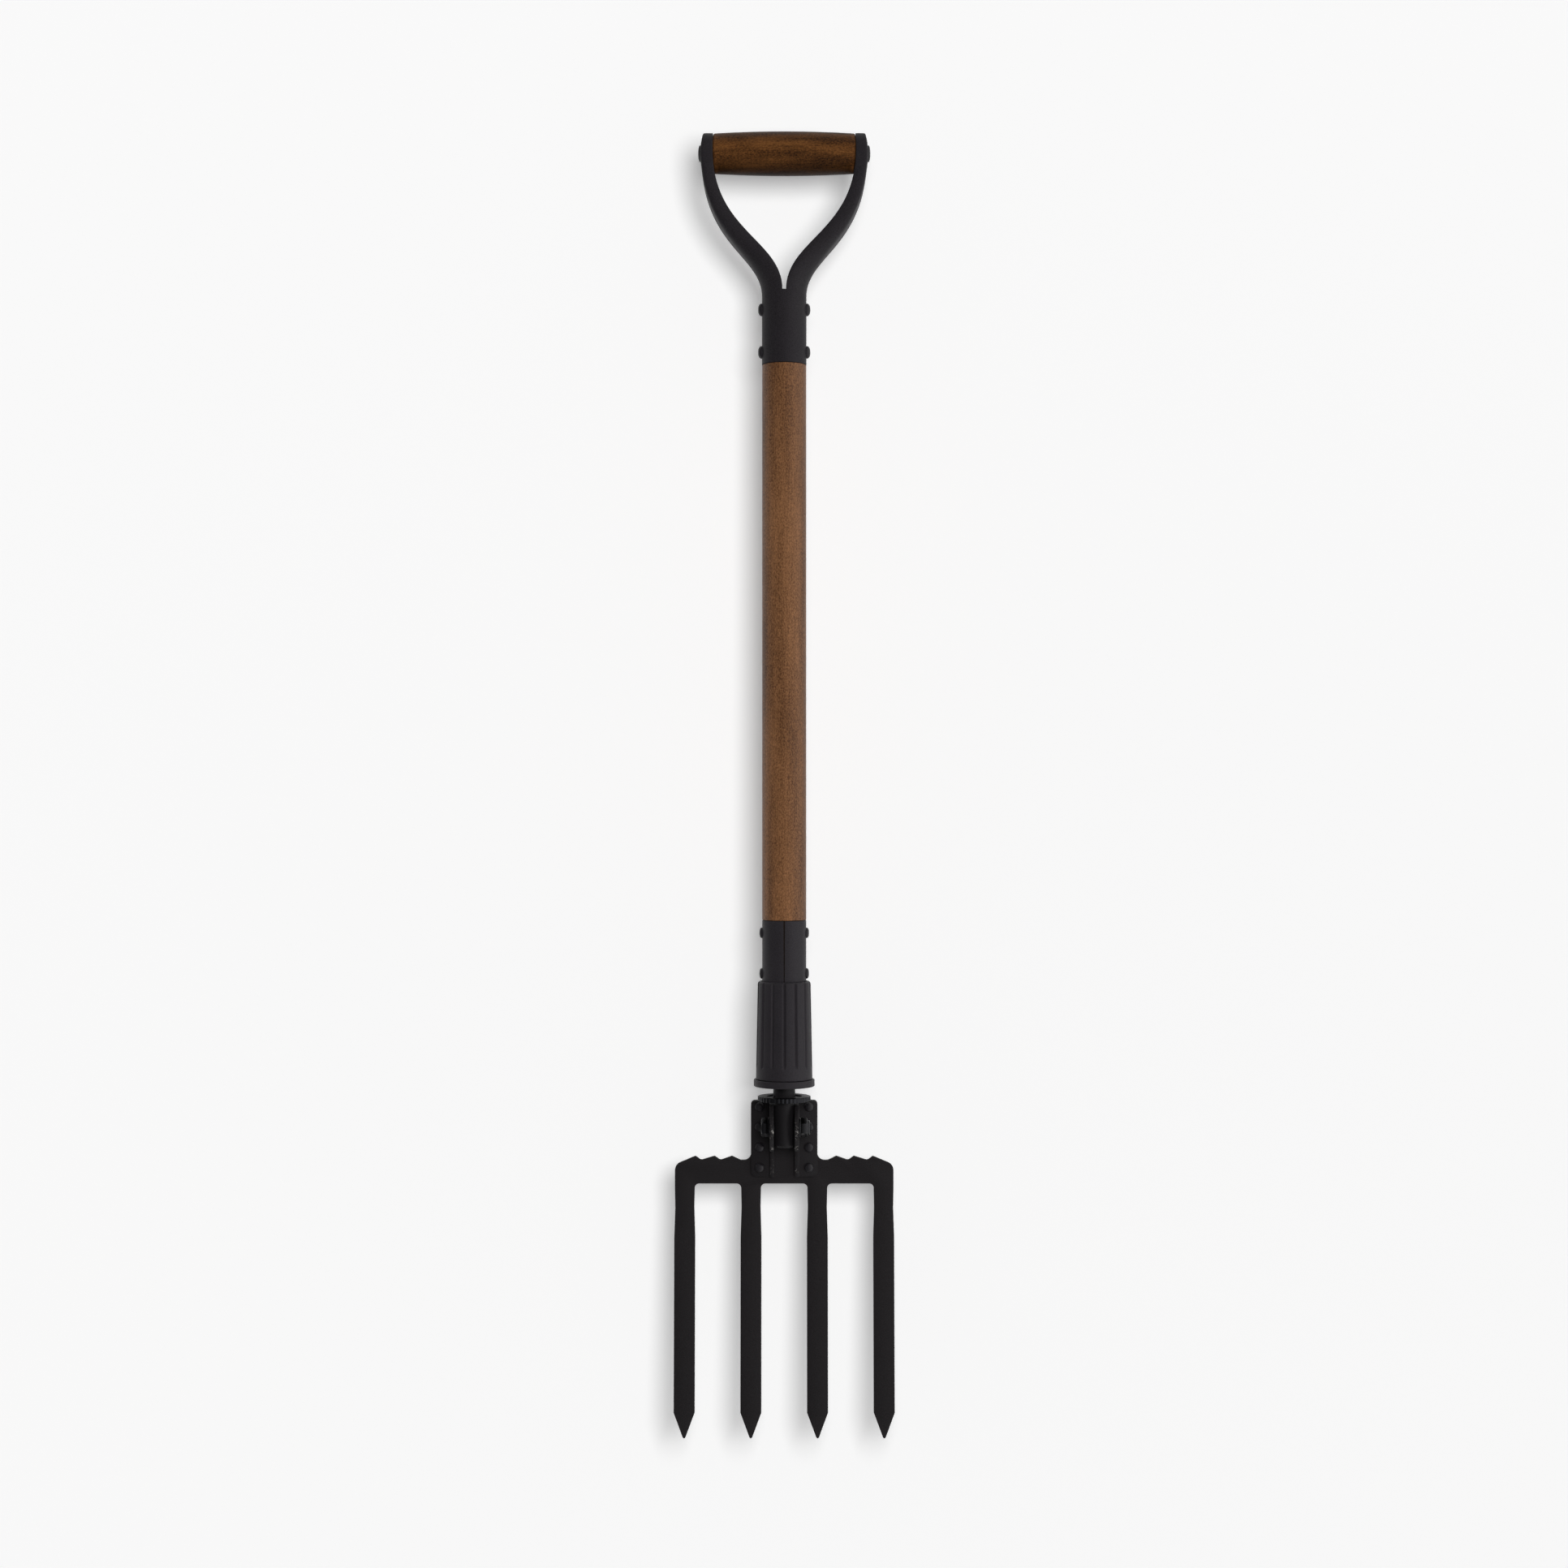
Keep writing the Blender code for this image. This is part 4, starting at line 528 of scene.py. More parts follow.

# %% [markdown]
# ## Shaft
# The shaft is a turned hardwood bar. Its ends are turned down to tenons that the two steel tubes
# clasp, and the edge of each shoulder is eased. A lathe profile gives it in one go. Its full width
# is painted lit and its tenons are painted dark, as painted shade where they show in the gaps.

# %% Shaft
LOWER_END = 108.0 * MM
UPPER_END = 643.7 * MM
lower_tenon = SHAFT_RADIUS - SOCKET_WALL - GAP
upper_tenon = YOKE_RADIUS - YOKE_WALL - GAP
shaft_profile = rounded([
    (0.0, LOWER_END, 0.0), (lower_tenon, LOWER_END, 1.0 * MM),
    (lower_tenon, SHAFT_START + GAP, 0.0), (SHAFT_RADIUS, SHAFT_START + GAP, 0.35 * MM),
    (SHAFT_RADIUS, SHAFT_END - GAP, 0.35 * MM), (upper_tenon, SHAFT_END - GAP, 0.0),
    (upper_tenon, UPPER_END, 1.0 * MM), (0.0, UPPER_END, 0.0)], closed=False)
shaft = as_object("wooden_shaft", lathe(shaft_profile))
# Painted shade: the tenons, seen only in the gaps of the steel tubes, are painted dark.
paint(shaft, "painted_light", lambda point, _: math.hypot(point.x, point.z) > SHAFT_RADIUS - 0.6 * MM)
finished(shaft, "handle", wood_shaft, ["shaft"])

# %% [markdown]
# ## Lower socket
# A steel strip is rolled round the lower tenon, and its seam stays open on the viewer's side, a
# little wider at the mouth. A lathe can't leave a seam, so the socket is a loft of C-shaped
# sections, each open by the seam's width at its place. The sections at both ends are thinner,
# which rounds the rims.

# %% Lower socket
SOCKET_START = 100.0 * MM
SOCKET_LENGTH = 61.0 * MM


def socket_section(up, inset):
    """One C-shaped section of the rolled tube, drawn in at its walls by an inset."""
    share = (up - SOCKET_START) / SOCKET_LENGTH
    seam = (0.5 + 0.7 * share) * MM / 2.0
    ring = []
    for radius, way in ((SHAFT_RADIUS - inset, 1), (SHAFT_RADIUS - SOCKET_WALL + inset, -1)):
        opening = seam / radius
        sweep = [opening + (math.tau - 2.0 * opening) * step / ROUND for step in range(ROUND + 1)]
        ring += [round_point(radius, up, turn) for turn in sweep[::way]]
    return ring


foot_rings = [(SOCKET_START + depth * MM, inset * MM)
              for depth, inset in ((0.0, 0.5), (0.08, 0.26), (0.25, 0.08), (0.5, 0.0))]
mouth_rings = [(2.0 * SOCKET_START + SOCKET_LENGTH - up, inset)
               for up, inset in reversed(foot_rings)]
socket = as_object("rolled_socket", loft([socket_section(up, inset)
                                          for up, inset in foot_rings + mouth_rings]))
finished(socket, "handle", coat_turned, ["lower_socket"])

# %% [markdown]
# ## Yoke
# The yoke is the piece that takes the most skill. It starts as a round tube on the shaft, splits
# at the crotch, and each half becomes a C-shaped channel that swings out to an eye beside the
# grip. Two curves steer each arm, one for the lips of the channel and one for its back. Sections
# are drawn between them, rounder near the tube and boxier near the eye. They then go on round the
# eye's end, where they are solid. The lips are rounded, more so the further they are from the tube.

# %% Yoke sections
YOKE_CROTCH = 647.7 * MM
YOKE_SPREAD = 644.5 * MM
SLOT_HALF_WIDTH = 1.4 * MM
ARM_RUN = 108.1 * MM
EYE_LIP = 55.2 * MM
EYE_FACE = 64.6 * MM
EYE_RADIUS = 15.6 * MM
EYE_CROWN = 0.35 * MM
CROWN_DROP = 4.8 * MM
LIP_ROUND = 0.8 * MM
BOXIEST = 12.0
ARC = 28
LIP = 4
STATIONS = 44
EYE_TURNS = (8, 16, 24, 32, 40, 48, 56, 62, 68, 73, 78, 82, 85, 87, 88.5)


def flat(x, up):
    """A point in the middle plane of the tool."""
    return Vector((x, up, 0.0))


def curve(start, start_handle, end_handle, end, share):
    """A point on a cubic curve."""
    rest = 1.0 - share
    return (start * rest ** 3 + start_handle * (3.0 * rest ** 2 * share)
            + end_handle * (3.0 * rest * share ** 2) + end * share ** 3)


def channel(inner, outer, half_width, squareness=2.0, lip_round=0.0, hollow=True):
    """One section of an arm: its outer and inner wall, and its lower and upper lip."""
    inward = -(outer - inner).normalized() * lip_round
    foot = inner - inward
    depth = outer - foot
    power = 2.0 / squareness
    walls = []
    for share, width in ((1.0, half_width),
                         (1.0 - YOKE_WALL / depth.length, half_width - YOKE_WALL)):
        wall = []
        for step in range(ARC + 1):
            turn = math.pi * (0.5 - step / ARC)
            out = share * abs(math.cos(turn)) ** power if 0 < step < ARC else 0.0
            rise = math.copysign(abs(math.sin(turn)) ** power, math.sin(turn))
            wall.append(foot + depth * out + Vector((0.0, 0.0, width * rise)))
        walls.append(wall)
    if not hollow:
        walls[1] = [inner + Vector((0.0, 0.0, half_width * 0.8 * (1.0 - 2.0 * step / ARC)))
                    for step in range(ARC + 1)]
    lips = []
    for end in (0, -1):
        edge = walls[0][end]
        middle = (edge + walls[1][end]) / 2.0
        sweep = math.pi
        if not hollow:
            middle = foot + Vector((0.0, 0.0, edge.z - math.copysign(lip_round, edge.z)))
            sweep = math.pi / 2.0
        lips.append([middle + (edge - middle) * math.cos(sweep * step / LIP)
                     + inward * math.sin(sweep * step / LIP) for step in range(1, LIP)])
    return walls, lips


def crown(up):
    """How far an eye's outer face stands out of the arm's back. It curves in towards the top."""
    below = GRIP_PLACE - CROWN_DROP - up
    if below < 0.0:
        return EYE_CROWN - below ** 2 / (172.0 * MM)
    share = max(0.0, 1.0 - below / (13.0 * MM))
    return EYE_CROWN * share ** 2 * (3.0 - 2.0 * share)


def eased(past, radius):
    """How far a rounded edge has drawn in at a place past its start."""
    past = min(max(past, 0.0), radius)
    return radius - math.sqrt(radius ** 2 - past ** 2)


def arm_sections():
    """Sections of the right half: the tube, the crotch, the arm, then its round end."""
    back = EYE_FACE - 0.05 * MM
    rim = SHAFT_END + 0.3 * MM
    spread = YOKE_SPREAD - 0.8 * MM
    sections = [channel(flat(0.0, SHAFT_END), flat(YOKE_RADIUS, SHAFT_END), YOKE_RADIUS)]
    for share in (0.0, 0.15, 0.5, 0.85, 1.0):
        sections.append(channel(flat(0.0, rim + (YOKE_CROTCH - rim) * share),
                                flat(YOKE_RADIUS, rim + (spread - rim) * share), YOKE_RADIUS))
    inner = (flat(SLOT_HALF_WIDTH, YOKE_CROTCH),
             flat(SLOT_HALF_WIDTH, YOKE_CROTCH + 0.353 * ARM_RUN),
             flat(EYE_LIP, GRIP_PLACE - 0.585 * ARM_RUN), flat(EYE_LIP, GRIP_PLACE))
    outer = (flat(YOKE_RADIUS, YOKE_SPREAD), flat(YOKE_RADIUS, YOKE_SPREAD + 0.299 * ARM_RUN),
             flat(back, GRIP_PLACE - 0.641 * ARM_RUN), flat(back, GRIP_PLACE))
    hollow = True
    for step in range(STATIONS + 1):
        share = step / STATIONS
        near, far = curve(*inner, share), curve(*outer, share)
        far.x += crown(far.y)
        shape = (near, far, YOKE_RADIUS + (EYE_RADIUS - YOKE_RADIUS) * share,
                 2.0 + (BOXIEST - 2.0) * share ** 2.2, LIP_ROUND * min(1.0, 8.0 * share))
        if hollow and near.y > GRIP_PLACE - 15.0 * MM:
            sections.append(channel(*shape))
            hollow = False
        sections.append(channel(*shape, hollow))
    for turn in EYE_TURNS:
        rise = EYE_RADIUS * math.sin(math.radians(turn))
        width = EYE_RADIUS * math.cos(math.radians(turn))
        near = EYE_LIP + eased(rise - EYE_RADIUS + 0.6 * MM, 0.6 * MM)
        far = back + crown(GRIP_PLACE + rise) - eased(rise - EYE_RADIUS + 2.2 * MM, 2.2 * MM)
        sections.append(channel(flat(near, GRIP_PLACE + rise), flat(far, GRIP_PLACE + rise),
                                width, BOXIEST, min(LIP_ROUND, 0.4 * width), False))
    return sections


print("yoke:", len(arm_sections()), "sections of", 2 * (ARC + LIP), "points")

# %% [markdown]
# ### From sections to the yoke
# The sections are joined into the skin of the right half, and a mirror gives the left one. Then
# each eye gets a cup for the grip's tenon, cut from the inside, and on its curved outside a
# flat seat for the bolt's head, built up and then trimmed level. Each shape serves both eyes at
# once, because every further Boolean leaves a mesh a little less clean.

# %% Yoke skin, mirrored, with its cups and seats
FIRST_LIP = 5
CUP_RADIUS = 13.4 * MM
CUP_FLOOR = 61.4 * MM
SEAT_RADIUS = 7.0 * MM
SEAT_BACK = 62.5 * MM


def arm_skin():
    """The right half as one skin, open where the left half joins it along the tube."""
    bm = bmesh.new()
    rows = []
    for index, (walls, lips) in enumerate(arm_sections()):
        row = [[bm.verts.new(point) for point in wall] for wall in walls]
        row += [[bm.verts.new(point) for point in lip] if index >= FIRST_LIP else []
                for lip in lips]
        rows.append(row)

    def strip(low, high):
        for step in range(len(low) - 1):
            bm.faces.new((low[step], low[step + 1], high[step + 1], high[step]))

    for index, (low, high) in enumerate(zip(rows, rows[1:])):
        strip(low[0], high[0])
        strip(low[1], high[1])
        for lip, end in ((2, 0), (3, -1)):
            if index >= FIRST_LIP:
                strip(*([row[0][end], *row[lip], row[1][end]] for row in (low, high)))
    strip(rows[0][0], rows[0][1])
    outer, inner, lower_lip, upper_lip = rows[-1]
    bm.faces.new([*outer, *upper_lip, *reversed(inner), *reversed(lower_lip)])
    return bm


def discs(radius, near, far):
    """Two round bars on the grip's axis, one on each side of the tool."""
    right = [(0.0, near), (radius, near), (radius, far), (0.0, far)]
    left = [(size, -along) for size, along in reversed(right)]
    return across(lathe(left + right), GRIP_PLACE)


yoke = as_object("forked_yoke", arm_skin())
mirror = yoke.modifiers.new("halves", "MIRROR")
mirror.merge_threshold = 0.003 * MM
bake(yoke)
shape_with(yoke, discs(CUP_RADIUS, 50.0 * MM, CUP_FLOOR), "DIFFERENCE")
shape_with(yoke, discs(SEAT_RADIUS, SEAT_BACK, 64.8 * MM), "UNION")
shape_with(yoke, discs(SEAT_RADIUS + 0.1 * MM, EYE_FACE, 68.0 * MM), "DIFFERENCE")
finished(yoke, "handle", coat_yoke, ["yoke"])

# %% [markdown]
# ## Grip
# The grip is a barrel, turned a little thicker in its middle, so that it fills the hand. It turns
# on a bolt through both eyes, whose low domed heads show on the outside. The barrel is a lathe
# profile with a gentle swell, laid across the tool.

# %% Grip barrel and bolt heads
GRIP_HALF = EYE_LIP - GAP
GRIP_RADIUS = 15.25 * MM
GRIP_SWELL = 1.65 * MM
TENON_RADIUS = 13.1 * MM
TENON_END = 60.2 * MM
GRIP_BORE = 5.3 * MM
HEAD_RADIUS = 6.35 * MM

barrel = []
for step in range(33):
    along = (GRIP_HALF - 1.2 * MM) * (step / 16.0 - 1.0)
    barrel.append((GRIP_RADIUS + GRIP_SWELL * (1.0 - (along / GRIP_HALF) ** 2), along))
end_edge = rounded([(TENON_RADIUS, GRIP_HALF, 0.0), (15.2 * MM, GRIP_HALF, 1.15 * MM),
                    (GRIP_RADIUS, GRIP_HALF - 1.3 * MM, 0.0)], closed=False)
right_end = [(TENON_RADIUS, TENON_END)] + [tuple(point) for point in end_edge]
left_end = [(radius, -along) for radius, along in right_end]
grip_profile = ([(GRIP_BORE, -TENON_END)] + left_end + barrel + right_end[::-1]
                + [(GRIP_BORE, TENON_END)])
grip = as_object("turned_grip", across(lathe(grip_profile, closed=True), GRIP_PLACE))
# Painted shade: the barrel is lit in the middle that faces the camera, and darker towards its top
# and bottom edges and on its far side.
paint(grip, "painted_light", lambda _, normal: max(0.0, 1.0 - abs(normal.y - 0.1) ** 1.8)
      if normal.z > 0.0 else 0.0)
finished(grip, "handle", wood_grip, ["grip"])


def bolt_head(side):
    """A low domed head with a short shank behind it."""
    seat = side * (EYE_FACE + GAP)
    dome = [(HEAD_RADIUS * math.cos(turn), seat + side * (0.6 + 1.4 * math.sin(turn)) * MM)
            for turn in [math.pi / 2.0 * step / 8.0 for step in range(9)]]
    shank = [(0.0, side * 40.0 * MM), (5.0 * MM, side * 40.0 * MM), (5.0 * MM, seat)]
    return across(lathe(shank + [(HEAD_RADIUS, seat)] + dome, 64), GRIP_PLACE)


for side, name, node in ((-1.0, "grip_bolt_head", "grip_bolt"),
                         (1.0, "grip_cap_head", "grip_bolt_cap")):
    finished(as_object(name, bolt_head(side)), "handle", coat_rivets, [node])

# %% [markdown]
# ## Rivets
# Four rivets cross the tubes and eight hold the ears to the fork plate. They repeat one shape in
# rows, which is what Geometry Nodes are for. The tree takes one rivet as its input and sets it
# on two rows of points, one on each side of the tool, then turns every copy to face outwards.
# The rows' count, pitch and places are inputs, so one tree serves all three sets.

# %% Tree: rivet rows
def put_out(tree, shape, material, end):
    """Make a shape's copies real, give them their material and send them out of a tree."""
    real = add(tree, "GeometryNodeRealizeInstances", {"Geometry": shape})[0]
    feed(tree, end, {0: add(tree, "GeometryNodeSetMaterial", {
        "Geometry": real, "Material": material})[0]})


def run_tree(item, tree, values):
    """Run a tree on an object and keep its result as a plain mesh."""
    modifier = item.modifiers.new(tree.name, "NODES")
    modifier.node_group = tree
    for socket in tree.interface.items_tree:
        if socket.in_out == "INPUT" and socket.name in values:
            modifier[socket.identifier] = values[socket.name]
    bake(item)


rows_tree, rows_in, rows_out = group("rivet rows", "GeometryNodeTree", {
    "Rivet": "Geometry", "Count": 2, "First": 0.0, "Pitch": 10.0 * MM, "Side": 10.0 * MM,
    "Height": 0.0, "Turn": 0.0, "Material": "Material"}, {"Geometry": "Geometry"})
rows = rows_tree.nodes.new("GeometryNodeJoinGeometry")
pitch = add(rows_tree, "ShaderNodeCombineXYZ", {"Y": rows_in["Pitch"]})[0]
for way in (-1.0, 1.0):
    start = add(rows_tree, "ShaderNodeCombineXYZ", {
        "X": calculate(rows_tree, "MULTIPLY", rows_in["Side"], way),
        "Y": rows_in["First"], "Z": rows_in["Height"]})[0]
    line = add(rows_tree, "GeometryNodeMeshLine", {
        "Count": rows_in["Count"], "Start Location": start, "Offset": pitch})[0]
    facing = add(rows_tree, "ShaderNodeCombineXYZ", {
        "Y": calculate(rows_tree, "MULTIPLY", rows_in["Turn"], way)})[0]
    feed(rows_tree, rows, {0: add(rows_tree, "GeometryNodeInstanceOnPoints", {
        "Points": line, "Instance": rows_in["Rivet"], "Rotation": facing})[0]})
put_out(rows_tree, rows.outputs[0], rows_in["Material"], rows_out)

# %% Rivets of the tubes and of the ears
def rivet(radius, height, skirt):
    """A snap head that points along Z, with a skirt that beds it on a curved wall."""
    dome = [(radius * math.cos(turn) ** 0.8, height * math.sin(turn) ** 0.92)
            for turn in [math.pi / 2.0 * step / 9.0 for step in range(10)]]
    return upright(lathe([(0.0, -skirt), (radius, -skirt)] + dome[:-1] + [(0.0, height)], 40))


def rivet_set(name, body, nodes, head, **places):
    """Two rows of rivets as one piece."""
    item = as_object(name, rivet(*head))
    run_tree(item, rows_tree, {"Material": coat_rivets, **places})
    finished(item, body, coat_rivets, nodes)


rivet_set("yoke_rivets", "handle", ["yoke_rivet_lower", "yoke_rivet_upper"],
          (4.9 * MM, 2.75 * MM, 1.6 * MM), Count=2, First=601.6 * MM, Pitch=33.0 * MM,
          Side=YOKE_RADIUS + GAP, Turn=math.pi / 2.0)
rivet_set("socket_rivets", "handle", ["socket_rivet_lower", "socket_rivet_upper"],
          (4.15 * MM, 1.9 * MM, 1.4 * MM), Count=2, First=119.6 * MM, Pitch=31.5 * MM,
          Side=SHAFT_RADIUS + GAP, Turn=math.pi / 2.0)
ear_rivets = [f"bracket_rivet_{side}_{number}" for side in ("left", "right")
              for number in (1, 2, 3, 4)]
rivet_set("ear_rivets", "head", ear_rivets, (3.75 * MM, 2.6 * MM, 0.0), Count=4,
          First=EAR_RIVET_TOP, Pitch=-EAR_RIVET_PITCH, Side=EAR_RIVET_SIDE,
          Height=FLANGE_FRONT + GAP)

# %% [markdown]
# ## Fluted collar and serrated ring
# The collar screws down and presses a loose ring on the flats of the ears. Fourteen round
# grooves help the hand to turn it, and forty small teeth mark the ring's rim. Both follow one
# rule: a groove of some width and depth, repeated round an axis. The tree measures how far each
# point lies from the nearest groove's middle and draws the point in. A roundness of 2 gives a
# round groove and 1 gives a V. Grooves that start above the lower edge end in a half circle.

# %% Tree: grooves round an axis
flute_tree, flute_in, flute_out = group("grooves round an axis", "GeometryNodeTree", {
    "Blank": "Geometry", "Count": 14, "Width": 2.7 * MM, "Depth": 1.0 * MM, "Roundness": 2.0,
    "Start": 0.0, "Low": 0.0, "Length": 76.0 * MM, "Radius": 22.0 * MM, "Taper": 0.0,
    "Core": 19.0 * MM, "Material": "Material"}, {"Geometry": "Geometry"})
flute = partial(calculate, flute_tree)


def hypotenuse(first, second):
    """The long side over two short ones, as nodes."""
    return flute("SQRT", flute("ADD", flute("MULTIPLY", first, first),
                               flute("MULTIPLY", second, second)))


position = add(flute_tree, "GeometryNodeInputPosition")[0]
spot_x, spot_y, spot_z = add(flute_tree, "ShaderNodeSeparateXYZ", {"Vector": position})
reach = hypotenuse(spot_x, spot_z)
turns = flute("DIVIDE", flute("ARCTAN2", spot_x, spot_z), math.tau)
steps = flute("MULTIPLY", turns, flute_in["Count"])
off = flute("ABSOLUTE", flute("SUBTRACT", steps, flute("ROUND", steps)))
half_width = flute("MULTIPLY", flute_in["Width"], 0.5)
sideways = flute("DIVIDE", flute("MULTIPLY", flute("MULTIPLY", off, math.tau),
                                 flute_in["Radius"]), flute_in["Count"])
below = flute("MAXIMUM", flute("SUBTRACT", flute("ADD", flute_in["Start"], half_width),
                               spot_y), 0.0)
from_middle = flute("DIVIDE", hypotenuse(sideways, below), half_width)
fill = flute("POWER", flute("MINIMUM", from_middle, 1.0), flute_in["Roundness"])
cut = flute("MULTIPLY", flute("SUBTRACT", 1.0, fill), flute_in["Depth"])
rise = flute("DIVIDE", flute("SUBTRACT", spot_y, flute_in["Low"]), flute_in["Length"])
surface = flute("SUBTRACT", flute_in["Radius"], flute("MULTIPLY", flute_in["Taper"], rise))
wanted = flute("MINIMUM", reach, flute("SUBTRACT", surface, cut))
share = flute("DIVIDE", wanted, flute("MAXIMUM", reach, 0.001 * MM))
drawn_in = add(flute_tree, "ShaderNodeCombineXYZ", {
    "X": flute("MULTIPLY", spot_x, share), "Y": spot_y, "Z": flute("MULTIPLY", spot_z, share)})[0]
grooved = add(flute_tree, "GeometryNodeSetPosition", {
    "Geometry": flute_in["Blank"], "Position": drawn_in,
    "Selection": flute("GREATER_THAN", reach, flute_in["Core"])})[0]
put_out(flute_tree, grooved, flute_in["Material"], flute_out)

# %% Locking collar
def divided(profile, step):
    """Add points to a closed profile's long straight runs."""
    points = []
    for index, point in enumerate(profile):
        before = profile[index - 1]
        parts = max(1, round((point - before).length / step))
        points += [before.lerp(point, part / parts) for part in range(1, parts + 1)]
    return points


COLLAR_LOW = FOOT_PLACE + 5.6 * MM
COLLAR_LENGTH = 75.9 * MM
COLLAR_TOP = COLLAR_LOW + COLLAR_LENGTH
COLLAR_RADIUS = 21.95 * MM
COLLAR_TAPER = 1.45 * MM
COLLAR_BORE = 17.5 * MM
RECESS_TOP = FOOT_PLACE + 12.4 * MM
collar_blank = divided(rounded([
    (19.75 * MM, COLLAR_LOW, 0.0), (COLLAR_RADIUS, COLLAR_LOW, 0.45 * MM),
    (20.5 * MM, COLLAR_TOP, 2.3 * MM), (COLLAR_BORE, COLLAR_TOP, 0.4 * MM),
    (COLLAR_BORE, RECESS_TOP, 0.0), (19.75 * MM, RECESS_TOP, 0.0)]), 1.1 * MM)
collar = as_object("fluted_collar", lathe(collar_blank, 14 * 24, closed=True))
run_tree(collar, flute_tree, {
    "Count": 14, "Width": 2.7 * MM, "Depth": 1.2 * MM, "Roundness": 1.5,
    "Start": COLLAR_LOW + 9.4 * MM, "Low": COLLAR_LOW, "Length": COLLAR_LENGTH,
    "Radius": COLLAR_RADIUS, "Taper": COLLAR_TAPER, "Core": 19.0 * MM, "Material": coat_turned})
finished(collar, "collar", coat_turned, ["locking_collar"], crisp=50.0)

# %% Foot ring and serrated ring
FOOT_TOP = FOOT_PLACE + 5.3 * MM
HUB_TOP = FOOT_PLACE + 12.0 * MM
foot = as_object("collar_foot", lathe(rounded([
    (COLLAR_BORE, FOOT_PLACE, 0.3 * MM), (23.65 * MM, FOOT_PLACE, 0.7 * MM),
    (23.65 * MM, FOOT_TOP, 0.7 * MM), (19.45 * MM, FOOT_TOP, 0.0),
    (19.45 * MM, HUB_TOP, 0.3 * MM), (COLLAR_BORE, HUB_TOP, 0.3 * MM)]), 128, closed=True))
finished(foot, "collar_foot", coat_turned, ["collar_foot_ring"])

RING_LOW = 21.0 * MM
RING_HEIGHT = 3.4 * MM
RING_RADIUS = 20.6 * MM
RING_TOP = RING_LOW + RING_HEIGHT
DISH = RING_LOW + 2.2 * MM
ring = as_object("serrated_ring", lathe(rounded([
    (8.85 * MM, RING_LOW, 0.3 * MM), (RING_RADIUS, RING_LOW, 0.4 * MM),
    (RING_RADIUS, RING_TOP, 0.4 * MM), (13.8 * MM, RING_TOP, 0.3 * MM),
    (13.8 * MM, DISH, 0.3 * MM), (8.85 * MM, DISH, 0.3 * MM)], 3), 40 * 8, closed=True))
run_tree(ring, flute_tree, {
    "Count": 40, "Width": math.tau * RING_RADIUS / 40.0, "Depth": 0.5 * MM, "Roundness": 1.0,
    "Low": RING_LOW, "Length": RING_HEIGHT, "Radius": RING_RADIUS, "Core": 18.0 * MM,
    "Material": steel_black})
finished(ring, "thrust_ring", steel_black, ["thrust_ring"], crisp=50.0)

# %% [markdown]
# ## Hinge stem
# The stem is a round bar that hangs from the ferrule under the collar. Its lower end has two
# flats, so that it fits between the ears. On a lathe mesh the flats are simple: every point that
# lies further out than a flat is moved back onto it.

# %% Hinge stem
STEM_RADIUS = 8.55 * MM
STEM_FOOT = -15.2 * MM
STEM_TOP = 92.0 * MM
FLAT_TOP = 19.5 * MM
FLAT_SIDE = 7.7 * MM
stem_profile = rounded([
    (0.0, STEM_FOOT, 0.0), (6.9 * MM, STEM_FOOT, 0.35 * MM),
    (STEM_RADIUS, -13.2 * MM, 0.35 * MM), (STEM_RADIUS, FLAT_TOP, 0.0)], 3, closed=False)
stem_profile += [(STEM_RADIUS, FLAT_TOP + 0.05 * MM), (STEM_RADIUS, STEM_TOP), (0.0, STEM_TOP)]
stem_bm = lathe(stem_profile, 72)
for vertex in stem_bm.verts:
    if vertex.co.y < FLAT_TOP + 0.01 * MM:
        vertex.co.x = max(-FLAT_SIDE, min(FLAT_SIDE, vertex.co.x))
finished(as_object("flatted_stem", stem_bm), "handle", coat_stem, ["hinge_stem"], crisp=25.0)

# %% [markdown]
# ## Ears
# Each ear is bent from steel angle. The upright leg is an octagon round the pivot, and the ring
# locks on its flats. The other leg is the flange that the rivets hold. The octagon's rim rubs on
# the ring at every fold, so its points are painted with the rub number that the material reads.

# %% Ear blanks
EAR_APOTHEM = 17.6 * MM
EAR_INNER = 8.1 * MM
EAR_OUTER = 11.2 * MM
FLANGE_EDGE = 26.15 * MM
FLANGE_FOOT = -42.2 * MM
FLANGE_BACK = -27.7 * MM


